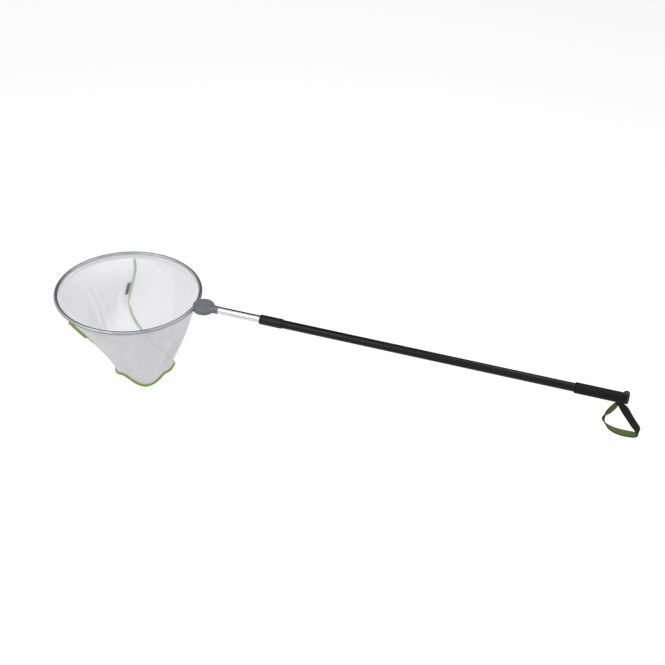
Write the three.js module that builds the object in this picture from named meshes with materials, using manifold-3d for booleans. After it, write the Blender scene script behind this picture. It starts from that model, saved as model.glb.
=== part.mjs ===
// Pond net: a round hoop with a two-panel mesh bag on a twist-lock telescopic pole.
// Millimetres, +Z up. The pole lies along X with the hoop at its -X end, the hoop lies in the plane z = 0
// with the bag below it, and the origin is the middle of the hand grip on the pole's axis.
import * as THREE from 'three';
import { mergeVertices } from 'three/addons/utils/BufferGeometryUtils.js';
import Module from 'manifold-3d';

const wasm = await Module();
wasm.setup();

// Clearances
const seatGap = 0.3; // between pieces that touch in the real net
const slideGap = 0.3; // inner tube in outer tube, each side
const past = 1; // how far a cutting tool runs past the face that it cuts

// Pole tubes
const innerTubeDiameter = 18;
const innerTubeWall = 0.8;
const innerTubeShorter = 100; // than the outer tube
const outerTubeWall = 0.7;
const outerTubeLength = 840;
const exposedTube = 103; // bare inner tube between connector and collar at rest

// Collar at the mouth of the outer tube
const collarWall = 1.4;
const collarLength = 55;
const collarLip = 4; // the lip that guides the inner tube
const collarChamfer = 1.2;

// Hand grip, end plug and strap pin
const gripLength = 112;
const gripWall = 2.2;
const gripChamfer = 1.4;
const plugDepth = 45;
const plugFlange = 5;
const plugRound = 1.2;
const tabWidth = 9; // the raised tab on the plug, flush with its end
const tabRadius = 7;
const strapPinDiameter = 3;
const strapPinInset = 12; // from the grip's rear end
const strapPinDepth = 4; // below the pole's axis
const slotLength = 17;
const slotCrown = 5; // slot above the pin

// Wrist strap
const strapWidth = 18;
const strapRootWidth = 10; // where it lies in the slot, with room to swing
const strapThickness = 1.4;
const liningMargin = 1.25; // webbing seen along each edge of the tape
const liningThickness = 0.8;
const liningGap = 0.5; // tape to webbing, over the twists
const strapLayerGap = 1.2; // between the two ends in the slot
const strapEndRise = 3; // strap's ends above the pin
const strapWidensFrom = 2; // places along its route where it opens out to its full width
const strapWidensTo = 4.5;

// Hoop
const hoopDiameter = 350;
const hoopTube = 9;
const hoopWall = 1.3;
const tailSpacing = 14; // between the centres of the hoop's two straight tails
const tailBendRadius = 10;
const tailReach = 15; // past the middle of the connector

// Hem
const hemThickness = 1.2;
const hemDrop = 11;

// Net bag, measured from the middle of the hoop
const netThickness = 0.8;
const backSeamAngle = 112.5; // degrees from the pole to where the seam meets the rim
const frontSeamAngle = 120;
const bottomMiddle = new THREE.Vector3(29, 10, -235);
const bottomHalfLength = 74;
const bottomTurn = 47; // degrees from the pole to the bottom seam
const bottomTilt = -11; // rise from the middle to the back end of the bottom seam
const bottomSag = 57;
const bottomSagPower = 1.8; // more gathers the sag in the middle
const bottomGap = 1; // between the two panels along the bottom seam
const backSeamBow = new THREE.Vector3(-88, 18, 0); // how far each seam hangs from a straight line
const frontSeamBow = new THREE.Vector3(-14, 18, 0);
const bowLean = 1.8; // more sets the bows lower down
const nearBulge = 3; // the panels' middles outside straight lines
const farBulge = -10;
const cornerPull = 3; // how much of the net runs to the bottom seam's two ends
const panelEdgeGap = 0.6; // each panel's edge to the seam line
const bindingWidth = 7;
const bindingThickness = 1.4;
const bindingLean = 4; // how flat the tape lies, on the near panel at the back and the far one in front
const bindingLeanFrom = 0.12; // shares of the seam's height where the front tape lies down
const bindingLeanTo = 0.32;
const bindingTuck = 6; // how far past the front seam the lying tape starts
const bindingTurnFrom = 0.75; // share of the seam's height where the tape turns to point away from the bag
const frontTurnFrom = 0.92; // the same down the front
const bindingTurn = 3; // weight of that way at the bottom
const bindingLook = 0.4; // share of the seam's height above, from which it then points away
const bindingStart = 0.012; // share of the seam's height that stays bare under the hoop
const labelWidth = 9;
const labelThickness = 1;
const labelFrom = 0.27; // shares of the seam's height
const labelTo = 0.41;
const labelInset = 1.5; // from the seam line
const labelGap = 0.85; // tab to net, over the net's facets

// Connector between hoop and pole
const connectorDiameter = 52;
const connectorWall = 3; // above and below the hoop tube
const connectorRound = 3;
const connectorOverlap = 5; // how far the disc reaches past the hoop's centre line
const neckLength = 11.5; // edge of the disc to the end of the neck
const neckStep = 0.6; // neck's shoulder over the inner tube
const neckRootMargin = 4; // disc's edge to the neck's widest point
const neckRootSink = 0.7; // neck's root below the disc's faces
const neckRootInset = 14;
const neckConcavity = 1.8;
const capLip = 4.5; // edge of the disc to the end of the screwed cap
const spigotLength = 45;
const rivetDiameter = 3.2;
const rivetFromNeck = 12;

// Connector screws
const screwDiameter = 2.9;
const screwHeadDiameter = 5.6;
const screwHeadHeight = 2;
const screwCover = 1.2; // plastic left over the tip
const screwSink = 0.4; // head below the surface
const screwSocket = 2.4; // across the corners of the driver recess
const screwSocketDepth = 1.2;
const tailScrewOffset = 6.5; // from the middle of the disc towards the pole
const frontScrewOffset = 18; // from the middle of the disc towards the bag

// Twist lock in the inner tube's end
const studDiameter = 6;
const studGrip = 24.5; // length held in the plug
const studReach = 46; // length past the inner tube
const lockPlugDepth = 30;
const lockPlugFlange = 4;
const sleeveStart = 5; // from the inner tube's end
const sleeveLength = 32;
const sleeveSlit = 2.4;
const sleeveStudRoom = 0.9; // stud to the bore at the plug's side
const sleeveTipWall = 1.65; // wall at the open side
const wedgeStart = 15; // from the inner tube's end
const wedgeLength = 24;
const wedgeGap = 0.36; // cone to the sleeve's bore, across the pole
const stopNutStart = 42;
const stopNutThickness = 3.5;
const stopNutWall = 2.6; // stud to a corner of the nut

// Facets
const roundSides = 32;
const hexSides = 6;
const edgeSteps = 3; // round of the connector's edge
const hoopSteps = 52;
const hoopOuterSides = 11;
const hoopInnerSides = 6;
const bendSteps = 5;
const cordSides = 8;
const channelSides = 12;
const nearPanelSteps = 30;
const farPanelSteps = 20;
const panelRows = 12;
const seamSteps = 12;
const bottomSteps = 20;
const strapSteps = 72;
const strapColumns = 3;
const liningSkip = 9; // steps of the strap left bare at each end
const labelColumns = 2;
const labelRows = 4;
const neckRings = 8;
const neckSides = 32;
const screwSides = 16;
const mergeTolerance = 1e-4;

// Sizes that follow
const innerTubeRadius = innerTubeDiameter / 2;
const innerTubeLength = outerTubeLength - innerTubeShorter;
const innerBoreRadius = innerTubeRadius - innerTubeWall;
const outerBoreRadius = innerTubeRadius + slideGap;
const outerTubeRadius = outerBoreRadius + outerTubeWall;
const collarRadius = outerTubeRadius + seatGap + collarWall;
const gripRadius = outerTubeRadius + seatGap + gripWall;
const hoopRadius = (hoopDiameter - hoopTube) / 2;
const hoopTubeRadius = hoopTube / 2;
const hoopBoreRadius = hoopTubeRadius - hoopWall;
const hemFace = hoopRadius - hoopTubeRadius - seatGap;
const connectorRadius = connectorDiameter / 2;
const connectorHalf = hoopTubeRadius + connectorWall;
const connectorX = hoopRadius + connectorRadius - connectorOverlap;
const neckEndX = connectorX + connectorRadius + neckLength;
const capEndX = connectorX + connectorRadius + capLip;
const tubeButtX = gripLength / 2;
const tubeMouthX = tubeButtX - outerTubeLength;
const collarNoseX = tubeMouthX - collarLip;
const hoopCentreX = collarNoseX - exposedTube - neckEndX;
const innerTubeStart = neckEndX + seatGap;
const innerTubeEnd = innerTubeStart + innerTubeLength;
const strapPinX = tubeButtX - strapPinInset;
const slotWidth = 2 * strapThickness + strapLayerGap + 2 * seatGap;
const sleeveRadius = outerBoreRadius * Math.cos(Math.PI / roundSides) - seatGap;
const sleeveNarrow = studDiameter / 2 + sleeveStudRoom;
const sleeveWide = sleeveRadius - sleeveTipWall;

// Materials
const finish = (color, roughness, metalness = 0) =>
  new THREE.MeshStandardMaterial({ color, roughness, metalness });
const aluminium = finish(0xc9ccd0, 0.28, 1);
const blackEnamel = finish(0x141416, 0.38, 0.2);
const blackPlastic = finish(0x19191b, 0.55);
const gripRubber = finish(0x161618, 0.75);
const greyPlastic = finish(0x6f7278, 0.48);
const darkPlastic = finish(0x2d2e31, 0.5);
const whiteNet = finish(0xe6e7ea, 0.85);
const whiteTape = finish(0xf0f0f2, 0.85);
const greenTape = finish(0x6cb52d, 0.8);
const oliveTape = finish(0x4f7a33, 0.8);
const greyLabel = finish(0x3b3d42, 0.85);
const blackWebbing = finish(0x1b1c1c, 0.8);
const steel = finish(0x9a9da2, 0.32, 1);
const nylon = finish(0xd9d5c8, 0.5);

// Solids

// A closed surface as a solid: corners merged, slivers dropped and faces turned outwards.
function solidOf(geometry) {
  const bare = new THREE.BufferGeometry();
  bare.setAttribute('position', geometry.getAttribute('position'));
  bare.setIndex(geometry.index);
  const merged = mergeVertices(bare, mergeTolerance);
  const corners = merged.getAttribute('position');
  const faces = [];
  let volume = 0;
  const [a, b, c] = [0, 1, 2].map(() => new THREE.Vector3());
  for (let i = 0; i < merged.index.count; i += 3) {
    const face = [0, 1, 2].map((k) => merged.index.getX(i + k));
    if (new Set(face).size < 3) continue;
    [a, b, c].forEach((corner, k) => corner.fromBufferAttribute(corners, face[k]));
    volume += a.dot(b.cross(c));
    faces.push(face);
  }
  const outward = volume > 0 ? faces : faces.map((face) => [...face].reverse());
  return new wasm.Manifold(new wasm.Mesh({
    numProp: 3,
    vertProperties: new Float32Array(corners.array),
    triVerts: new Uint32Array(outward.flat()),
  }));
}

// A solid's surface as a flat-shaded geometry.
function surfaceOf(solid) {
  const { vertProperties, triVerts } = solid.getMesh();
  const surface = new THREE.BufferGeometry();
  surface.setAttribute('position', new THREE.BufferAttribute(new Float32Array(vertProperties), 3));
  surface.setIndex(new THREE.BufferAttribute(new Uint32Array(triVerts), 1));
  const flat = surface.toNonIndexed();
  flat.computeVertexNormals();
  return flat;
}

const cut = (solid, ...tools) => tools.reduce((left, tool) => left.subtract(tool), solid);

function addPiece(group, name, solid, material) {
  const piece = new THREE.Mesh(surfaceOf(solid), material);
  piece.name = name;
  group.add(piece);
}

// A turned solid about the X axis from [along, radius] pairs.
function turned(profile, sides = roundSides) {
  const points = profile.map(([along, radius]) => new THREE.Vector2(radius, along));
  return solidOf(new THREE.LatheGeometry(points, sides).rotateZ(-Math.PI / 2));
}

// A turned solid about a vertical axis from [radius, height] pairs.
function turnedUpright(profile, sides, x = 0, y = 0) {
  const points = profile.map(([radius, height]) => new THREE.Vector2(radius, height));
  return solidOf(new THREE.LatheGeometry(points, sides).rotateX(Math.PI / 2).translate(x, y, 0));
}

const tubeProfile = (from, to, inner, outer) =>
  [[from, inner], [to, inner], [to, outer], [from, outer], [from, inner]];
const rodProfile = (from, to, radius) => [[from, 0], [from, radius], [to, radius], [to, 0]];

function block(from, to) {
  const size = to.map((value, i) => value - from[i]);
  const middle = to.map((value, i) => (value + from[i]) / 2);
  return solidOf(new THREE.BoxGeometry(...size).translate(...middle));
}

// A pin across the pole, along Y.
function crossPin(radius, halfLength, x, z) {
  const pin = new THREE.CylinderGeometry(radius, radius, 2 * halfLength, screwSides);
  return solidOf(pin.translate(x, 0, z));
}

// Rings of points joined in order into a closed surface. capFaces close the two ends of an open run.
function loft(rings, capFaces) {
  const count = rings[0].length;
  const closed = capFaces === undefined;
  const index = [];
  const spans = closed ? rings.length : rings.length - 1;
  for (let i = 0; i < spans; i++) {
    const here = i * count;
    const next = ((i + 1) % rings.length) * count;
    for (let j = 0; j < count; j++) {
      const k = (j + 1) % count;
      index.push(here + j, here + k, next + k, here + j, next + k, next + j);
    }
  }
  const last = (rings.length - 1) * count;
  for (const [a, b, c] of capFaces ?? []) {
    index.push(c, b, a, last + a, last + b, last + c);
  }
  const surface = new THREE.BufferGeometry().setFromPoints(rings.flat());
  surface.setIndex(index);
  return solidOf(surface);
}

// Triangles of a flat outline, turned the same way round as the outline.
function outlineFaces(outline) {
  const way = Math.sign(THREE.ShapeUtils.area(outline));
  return THREE.ShapeUtils.triangulateShape(outline, []).map((face) => {
    const turn = THREE.ShapeUtils.area(face.map((i) => outline[i]));
    return Math.sign(turn) === way ? face : [...face].reverse();
  });
}

// Triangles of a ring that runs out along one row of points and back along another.
function stripFaces(steps) {
  const last = 2 * steps + 1;
  return Array.from({ length: steps }, (_, i) =>
    [[i, i + 1, last - i - 1], [i, last - i - 1, last - i]]).flat();
}

const fanFaces = (count) => Array.from({ length: count - 2 }, (_, i) => [0, i + 1, i + 2]);

const arcPoints = (radius, from, to, steps) =>
  Array.from({ length: steps + 1 }, (_, i) => {
    const angle = from + ((to - from) * i) / steps;
    return new THREE.Vector2(radius * Math.cos(angle), radius * Math.sin(angle));
  });

// Hoop, hem cord and hem

// The hoop's centre line: one tail, a bend, the round and back along the other tail.
const bendCentreY = tailSpacing / 2 + tailBendRadius;
const bendCentreX = Math.sqrt((hoopRadius + tailBendRadius) ** 2 - bendCentreY ** 2);
const roundStart = Math.atan2(bendCentreY, bendCentreX);
const roundAngles = Array.from({ length: hoopSteps + 1 }, (_, i) =>
  roundStart + ((2 * Math.PI - 2 * roundStart) * i) / hoopSteps);

function hoopPath() {
  const centre = new THREE.Vector2(bendCentreX, bendCentreY);
  const firstBend = arcPoints(tailBendRadius, -Math.PI / 2, roundStart - Math.PI, bendSteps)
    .map((p) => p.add(centre));
  const tailEnd = new THREE.Vector2(connectorX + tailReach, tailSpacing / 2);
  const lead = [tailEnd, ...firstBend.slice(0, -1)];
  const round = roundAngles.map((angle) =>
    new THREE.Vector2(hoopRadius * Math.cos(angle), hoopRadius * Math.sin(angle)));
  const mirrored = lead.map((p) => new THREE.Vector2(p.x, -p.y)).reverse();
  return [...lead, ...round, ...mirrored];
}

// An outline swept along a level path. Its first axis points left of the way along, its second up.
function sweepLevel(path, outline) {
  const rings = path.map((point, i) => {
    const before = path[Math.max(i - 1, 0)];
    const after = path[Math.min(i + 1, path.length - 1)];
    const along = after.clone().sub(before).normalize();
    return outline.map((o) =>
      new THREE.Vector3(point.x - along.y * o.x, point.y + along.x * o.x, o.y));
  });
  return loft(rings, outlineFaces(outline));
}

// Half of the hem's slot as an angle at the tube's outer and inner face.
const slotHalf = hemThickness / 2 + seatGap;
const outerSlotAngle = Math.asin(slotHalf / hoopTubeRadius);
const innerSlotAngle = Math.asin(slotHalf / hoopBoreRadius);

function hoopOutline() {
  return [
    ...arcPoints(hoopTubeRadius, outerSlotAngle, 2 * Math.PI - outerSlotAngle, hoopOuterSides),
    ...arcPoints(hoopBoreRadius, 2 * Math.PI - innerSlotAngle, innerSlotAngle, hoopInnerSides),
  ];
}

const ringPoint = (angle, radius, z) =>
  new THREE.Vector3(radius * Math.cos(angle), radius * Math.sin(angle), z);

function hemCord() {
  const radius = hoopBoreRadius * Math.cos((Math.PI - innerSlotAngle) / hoopInnerSides) - seatGap;
  const outline = arcPoints(radius, 0, 2 * Math.PI, cordSides).slice(0, -1);
  const path = roundAngles.map((angle) =>
    new THREE.Vector2(hoopRadius * Math.cos(angle), hoopRadius * Math.sin(angle)));
  return { radius, solid: sweepLevel(path, outline) };
}

function hemBand(cordRadius) {
  const half = hemThickness / 2;
  const root = hoopRadius - cordRadius - seatGap;
  const inner = hemFace - hemThickness;
  const outline = [
    [root, half], [inner, half], [inner, -hemDrop], [hemFace, -hemDrop], [hemFace, -half], [root, -half],
  ];
  const acrossGap = [-roundStart / 2, 0, roundStart / 2].map((angle) => angle + 2 * Math.PI);
  const rings = [...roundAngles, ...acrossGap].map((angle) =>
    outline.map(([radius, z]) => ringPoint(angle, radius, z)));
  return cut(loft(rings), connectorRoom());
}

// Net bag. Each panel runs from w = 0 to 1 around the bag and t = 0 to 1 from the rim to the bottom seam.
const backAngle = THREE.MathUtils.degToRad(backSeamAngle);
const frontAngle = THREE.MathUtils.degToRad(frontSeamAngle);
const nearArc = backAngle + frontAngle;
const farArc = 2 * Math.PI - nearArc;
const netRimRadius = hemFace - hemThickness; // flush with the hem's inner face
const netTop = -(hemDrop + seatGap); // sewn to the hem's lower edge
const bottomWay = new THREE.Vector3(
  bottomHalfLength * Math.cos(THREE.MathUtils.degToRad(bottomTurn)),
  bottomHalfLength * Math.sin(THREE.MathUtils.degToRad(bottomTurn)),
  bottomTilt,
);
const bottomSide = new THREE.Vector3(bottomWay.y, -bottomWay.x, 0).normalize();

// A point of the bottom seam, from its back end at 1 to its front end at -1.
function bottomPoint(share) {
  const point = bottomMiddle.clone().addScaledVector(bottomWay, share);
  point.z -= bottomSag * (1 - share * share) ** bottomSagPower;
  return point;
}

// The near panel faces the pole and the far panel closes the other side. Each hangs on the rim's place that
// runs along the bottom seam, and follows the seams' bows over its reaches.
const alongSeam = THREE.MathUtils.degToRad(bottomTurn) - Math.PI / 2;
const nearPanel = {
  from: backAngle, arc: -nearArc, way: 1, side: 1, backReach: 0.35, frontReach: 0.3, bulge: nearBulge,
  turn: (backAngle - alongSeam) / nearArc,
};
const farPanel = {
  from: -frontAngle, arc: -farArc, way: -1, side: -1, backReach: 0.9, frontReach: 0.7, bulge: farBulge,
  turn: (Math.PI - frontAngle - alongSeam) / farArc,
};

const bowTop = bowLean / (bowLean + 1);
const bowPeak = bowTop ** bowLean * (1 - bowTop);
const sectionShares = [0, 0.25, 0.5, 0.75]; // places on each panel that give the bag's middle
const besideSeam = 0.02; // share of a panel's width that shows which way it leaves the seam

const turnReach = (panel, before) => Math.tanh(cornerPull * (before ? panel.turn : 1 - panel.turn));

// Where on the bottom seam the net from a place on the rim ends, and back.
function seamShare(panel, w) {
  const way = Math.tanh(cornerPull * (panel.turn - w)) / turnReach(panel, w < panel.turn);
  return panel.way * way;
}

function placeAround(panel, share) {
  const way = panel.way * share;
  return panel.turn - Math.atanh(way * turnReach(panel, way > 0)) / cornerPull;
}

// Falls from 1 at no distance to 0 at the reach.
const fade = (distance, reach) => Math.cos((Math.PI / 2) * Math.min(distance / reach, 1)) ** 2;

function panelPoint(panel, w, t) {
  const angle = panel.from + panel.arc * w;
  const bottom = bottomPoint(seamShare(panel, w));
  bottom.addScaledVector(bottomSide, (panel.side * bottomGap) / 2);
  const [back, front] = panel.way > 0 ? [w, 1 - w] : [1 - w, w];
  const bow = (t ** bowLean * (1 - t)) / bowPeak;
  const bulge = 4 * t * (1 - t) * Math.sin(Math.PI * w) ** 2;
  const outward = new THREE.Vector3(Math.cos(angle), Math.sin(angle), 0);
  return ringPoint(angle, netRimRadius, netTop).lerp(bottom, t)
    .addScaledVector(backSeamBow, bow * fade(back, panel.backReach))
    .addScaledVector(frontSeamBow, bow * fade(front, panel.frontReach))
    .addScaledVector(outward, panel.bulge * bulge);
}

// The panel's outward normal.
function panelNormal(panel, w, t) {
  const step = 1e-3;
  const [wLow, wHigh] = [Math.max(w - step, 0), Math.min(w + step, 1)];
  const [tLow, tHigh] = [Math.max(t - step, 0), Math.min(t + step, 1)];
  const around = panelPoint(panel, wHigh, t).sub(panelPoint(panel, wLow, t));
  const down = panelPoint(panel, w, tHigh).sub(panelPoint(panel, w, tLow));
  return down.cross(around).normalize().negate();
}

// A patch of a panel as a solid between two offsets from its inner face.
function panelPatch(panel, [wFrom, wTo], [tFrom, tTo], wSteps, tSteps, inside, outside) {
  const rings = [];
  for (let row = 0; row <= tSteps; row++) {
    const t = tFrom + ((tTo - tFrom) * row) / tSteps;
    const ws = Array.from({ length: wSteps + 1 }, (_, i) => wFrom + ((wTo - wFrom) * i) / wSteps);
    const at = (w, offset) =>
      panelPoint(panel, w, t).addScaledVector(panelNormal(panel, w, t), offset);
    rings.push([...ws.map((w) => at(w, outside)), ...ws.toReversed().map((w) => at(w, inside))]);
  }
  return loft(rings, stripFaces(wSteps));
}

// The share of a panel's width that a distance along the rim takes.
const rimShare = (panel, distance) => distance / Math.abs(panel.arc * netRimRadius);

function netPanel(panel, steps) {
  const edge = rimShare(panel, panelEdgeGap);
  return panelPatch(panel, [edge, 1 - edge], [0, 1], steps, panelRows, 0, netThickness);
}

// The middle of the bag's section at a height.
function sectionMiddle(t) {
  const points = [nearPanel, farPanel].flatMap((panel) =>
    sectionShares.map((w) => panelPoint(panel, w, t)));
  const sum = points.reduce((total, point) => total.add(point), new THREE.Vector3());
  return sum.divideScalar(points.length);
}

// One tape along the whole seam: down the front, along the bottom and up the back. It stands out from the
// bag like a fin at the bottom and under the hoop in front, and lies on the net along the rest.
function seamBinding() {
  const stops = Array.from({ length: seamSteps + 1 }, (_, i) => i / seamSteps);
  const heights = stops.map((stop) => bindingStart + (1 - bindingStart) * stop);
  const front = heights.map((t) => {
    const upright = THREE.MathUtils.smoothstep(t, frontTurnFrom, 1);
    const lies = THREE.MathUtils.smoothstep(t, bindingLeanFrom, bindingLeanTo);
    return { near: 1, far: 0, t, panel: farPanel, upright, lean: bindingLean * lies * (1 - upright) };
  });
  const shares = Array.from({ length: bottomSteps - 1 }, (_, i) => (2 * (i + 1)) / bottomSteps - 1);
  const bottom = shares.map((share) => ({
    near: placeAround(nearPanel, share), far: placeAround(farPanel, share), t: 1,
    panel: nearPanel, upright: 1, lean: 0,
  }));
  const back = heights.toReversed().map((t) => {
    const upright = THREE.MathUtils.smoothstep(t, bindingTurnFrom, 1);
    return { near: 0, far: 1, t, panel: nearPanel, upright, lean: bindingLean * (1 - upright) };
  });
  const run = [...front, ...bottom, ...back];
  const points = run.map((place) =>
    panelPoint(nearPanel, place.near, place.t).lerp(panelPoint(farPanel, place.far, place.t), 0.5));
  const rings = run.map((place, i) => {
    const { t, panel, upright, lean } = place;
    const before = points[Math.max(i - 1, 0)];
    const after = points[Math.min(i + 1, points.length - 1)];
    const along = after.clone().sub(before).normalize();
    const lying = lean / Math.hypot(lean, 1);
    const across = panelNormal(nearPanel, place.near, t);
    across.add(panelNormal(farPanel, place.far, t)).normalize();
    across.lerp(panelNormal(panel, besideSeam, t), lying).normalize();
    const aside = panelPoint(panel, besideSeam, t).sub(points[i]).normalize();
    const away = points[i].clone().sub(sectionMiddle(Math.max(t - bindingLook, 0))).normalize();
    away.multiplyScalar(bindingTurn * upright).add(across).addScaledVector(aside, lean);
    const out = away.addScaledVector(along, -away.dot(along)).normalize();
    const side = along.clone().cross(out).multiplyScalar(bindingThickness / 2);
    const stand = netThickness + 2 * seatGap + (lying * bindingThickness) / 2;
    const near = points[i].clone().addScaledVector(across.lerp(out, 1 - lying).normalize(), stand);
    near.addScaledVector(out, panel === farPanel ? bindingTuck * lying : 0);
    const far = near.clone().addScaledVector(out, bindingWidth);
    return [
      near.clone().sub(side), far.clone().sub(side), far.clone().add(side), near.clone().add(side),
    ];
  });
  return loft(rings, fanFaces(rings[0].length));
}

function labelTab() {
  const edge = rimShare(farPanel, labelInset);
  const inset = panelPoint(farPanel, 1 - edge, labelFrom);
  const share = (edge * labelWidth) / panelPoint(farPanel, 1, labelFrom).distanceTo(inset);
  const across = [1 - edge - share, 1 - edge];
  const inner = -labelGap - labelThickness;
  return panelPatch(farPanel, across, [labelFrom, labelTo], labelColumns, labelRows, inner, -labelGap);
}

// Connector

function roundedDisc(radius, half, round) {
  const corner = arcPoints(round, 0, Math.PI / 2, edgeSteps);
  const upper = corner.map((p) => [radius - round + p.x, half - round + p.y]);
  const lower = upper.map(([r, z]) => [r, -z]).reverse();
  return turnedUpright([[0, -half], ...lower, ...upper, [0, half]], roundSides, connectorX);
}

// The disc with room round it, for what passes under the connector.
function connectorRoom() {
  const half = connectorHalf + seatGap;
  const radius = connectorRadius + seatGap;
  return turnedUpright([[0, -half], [radius, -half], [radius, half], [0, half]], roundSides, connectorX);
}

// The neck swells from a flat root inside the disc to a round shoulder at the inner tube.
function neckBody() {
  const start = connectorX + neckRootInset;
  const endRadius = innerTubeRadius + neckStep;
  const rootHalfWidth = connectorRadius - neckRootMargin;
  const rootHalfHeight = connectorHalf - neckRootSink;
  const rings = Array.from({ length: neckRings + 1 }, (_, i) => {
    const share = i / neckRings;
    const halfWidth = endRadius + (rootHalfWidth - endRadius) * (1 - share) ** neckConcavity;
    const rise = THREE.MathUtils.smoothstep(share, 0, 1);
    const halfHeight = THREE.MathUtils.lerp(rootHalfHeight, endRadius, rise);
    const x = THREE.MathUtils.lerp(start, neckEndX, share);
    return arcPoints(1, 0, 2 * Math.PI, neckSides).slice(0, -1)
      .map((p) => new THREE.Vector3(x, p.x * halfWidth, p.y * halfHeight));
  });
  return loft(rings, fanFaces(neckSides));
}

const screwPlaces = {
  connector_screw_left: [connectorX + tailScrewOffset, tailSpacing / 2],
  connector_screw_right: [connectorX + tailScrewOffset, -tailSpacing / 2],
  connector_screw_front: [connectorX - frontScrewOffset, 0],
};

function screw([x, y], gap) {
  const base = -connectorHalf + (gap ? -past : screwSink);
  const seat = -connectorHalf + screwSink + screwHeadHeight + gap;
  const tip = connectorHalf - screwCover + gap;
  const head = screwHeadDiameter / 2 + gap;
  const shank = screwDiameter / 2 + gap;
  const profile = [[0, base], [head, base], [head, seat], [shank, seat], [shank, tip], [0, tip]];
  return turnedUpright(profile, screwSides, x, y);
}

function connectorScrew(place) {
  const bottom = -connectorHalf + screwSink;
  const recess = [[0, bottom - past], [screwSocket / 2, bottom - past],
    [screwSocket / 2, bottom + screwSocketDepth], [0, bottom + screwSocketDepth]];
  return cut(screw(place, 0), turnedUpright(recess, hexSides, ...place));
}

// Round the hoop tube's corners, with room.
function channelOutline() {
  const radius = (hoopTubeRadius + seatGap) / Math.cos(Math.PI / channelSides);
  return arcPoints(radius, 0, 2 * Math.PI, channelSides).slice(0, -1);
}

function connectorParts() {
  const whole = roundedDisc(connectorRadius, connectorHalf, connectorRound).add(neckBody());
  const channel = sweepLevel(hoopPath(), channelOutline());
  const holes = Object.values(screwPlaces).map((place) => screw(place, seatGap));
  const far = connectorX - connectorRadius - past;
  const wide = connectorRadius + past;
  const high = connectorHalf + neckStep + innerTubeRadius;
  const capRoom = block([far, -wide, seatGap / 2], [capEndX - seatGap / 2, wide, high]);
  const bodyRoom = block([far, -wide, -seatGap / 2], [capEndX + seatGap / 2, wide, high]);
  const spigotEnds = [neckEndX - past, neckEndX + spigotLength];
  const spigot = turned(rodProfile(...spigotEnds, innerBoreRadius - seatGap));
  const rivetHole = neckRivetAt(rivetDiameter / 2 + seatGap, innerTubeRadius + past);
  return {
    cap: cut(whole.intersect(capRoom), channel, ...holes),
    body: cut(cut(whole, bodyRoom, channel, ...holes).add(spigot), rivetHole),
  };
}

function neckRivetAt(radius, halfLength) {
  const profile = [[0, -halfLength], [radius, -halfLength], [radius, halfLength], [0, halfLength]];
  return turnedUpright(profile, screwSides, neckEndX + rivetFromNeck);
}

// Twist lock

function expanderSleeve() {
  const from = innerTubeEnd + sleeveStart;
  const to = from + sleeveLength;
  const tube = turned([
    [from, sleeveNarrow], [to, sleeveWide], [to, sleeveRadius], [from, sleeveRadius], [from, sleeveNarrow],
  ]);
  const half = sleeveSlit / 2;
  return cut(tube, block([from - past, -half, 0], [to + past, half, sleeveRadius + past]));
}

// The cone that spreads the sleeve, with a key that runs in the sleeve's slit.
function wedgeNut() {
  const slope = (sleeveWide - sleeveNarrow) / sleeveLength;
  const coneAt = (along) => sleeveNarrow + slope * (along - sleeveStart) - wedgeGap;
  const [from, to] = [wedgeStart, wedgeStart + wedgeLength];
  const bore = studDiameter / 2 + seatGap;
  const start = innerTubeEnd + from;
  const end = innerTubeEnd + to;
  const cone = turned([
    [start, bore], [end, bore], [end, coneAt(to)], [start, coneAt(from)], [start, bore],
  ]);
  const keyHalf = sleeveSlit / 2 - seatGap;
  const keyFoot = coneAt(from) - past;
  return cone.add(block([start + past, -keyHalf, keyFoot], [end - past, keyHalf, innerBoreRadius]));
}

function stopNut() {
  const from = innerTubeEnd + stopNutStart;
  const bore = studDiameter / 2 + seatGap;
  const to = from + stopNutThickness;
  const hexagon = turned(rodProfile(from, to, studDiameter / 2 + stopNutWall), hexSides);
  return cut(hexagon, turned(rodProfile(from - past, to + past, bore), screwSides));
}

function lockPlug() {
  const hole = studDiameter / 2 + seatGap;
  const flangeRadius = innerTubeRadius;
  const [deep, face] = [innerTubeEnd - lockPlugDepth, innerTubeEnd + seatGap];
  const end = innerTubeEnd + lockPlugFlange;
  const holeEnd = innerTubeEnd - studGrip - seatGap;
  const body = innerBoreRadius - seatGap;
  return turned([[deep, 0], [deep, body], [face, body], [face, flangeRadius], [end, flangeRadius],
    [end, hole], [holeEnd, hole], [holeEnd, 0]]);
}

// Grip end

function strapSlot() {
  const half = slotLength / 2;
  return block(
    [strapPinX - half, -slotWidth / 2, -gripRadius - past],
    [strapPinX + half, slotWidth / 2, -strapPinDepth + slotCrown],
  );
}

const strapPinHole = () =>
  crossPin(strapPinDiameter / 2 + seatGap, gripRadius, strapPinX, -strapPinDepth);

function endPlug() {
  const shank = outerBoreRadius - seatGap;
  const face = tubeButtX + seatGap;
  const end = tubeButtX + plugFlange;
  const round = gripRadius - plugRound;
  const turnedPlug = turned([[tubeButtX - plugDepth, 0], [tubeButtX - plugDepth, shank], [face, shank],
    [face, gripRadius], [end - plugRound, gripRadius], [end, round], [end, 0]]);
  const disc = new THREE.CylinderGeometry(tabRadius, tabRadius, tabWidth, roundSides);
  disc.translate(end - tabRadius, 0, gripRadius);
  const gripRoom = turned(rodProfile(end - 2 * tabRadius - past, face, gripRadius + seatGap));
  const tab = cut(solidOf(disc), gripRoom);
  return cut(turnedPlug.add(tab), strapSlot(), strapPinHole());
}

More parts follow.
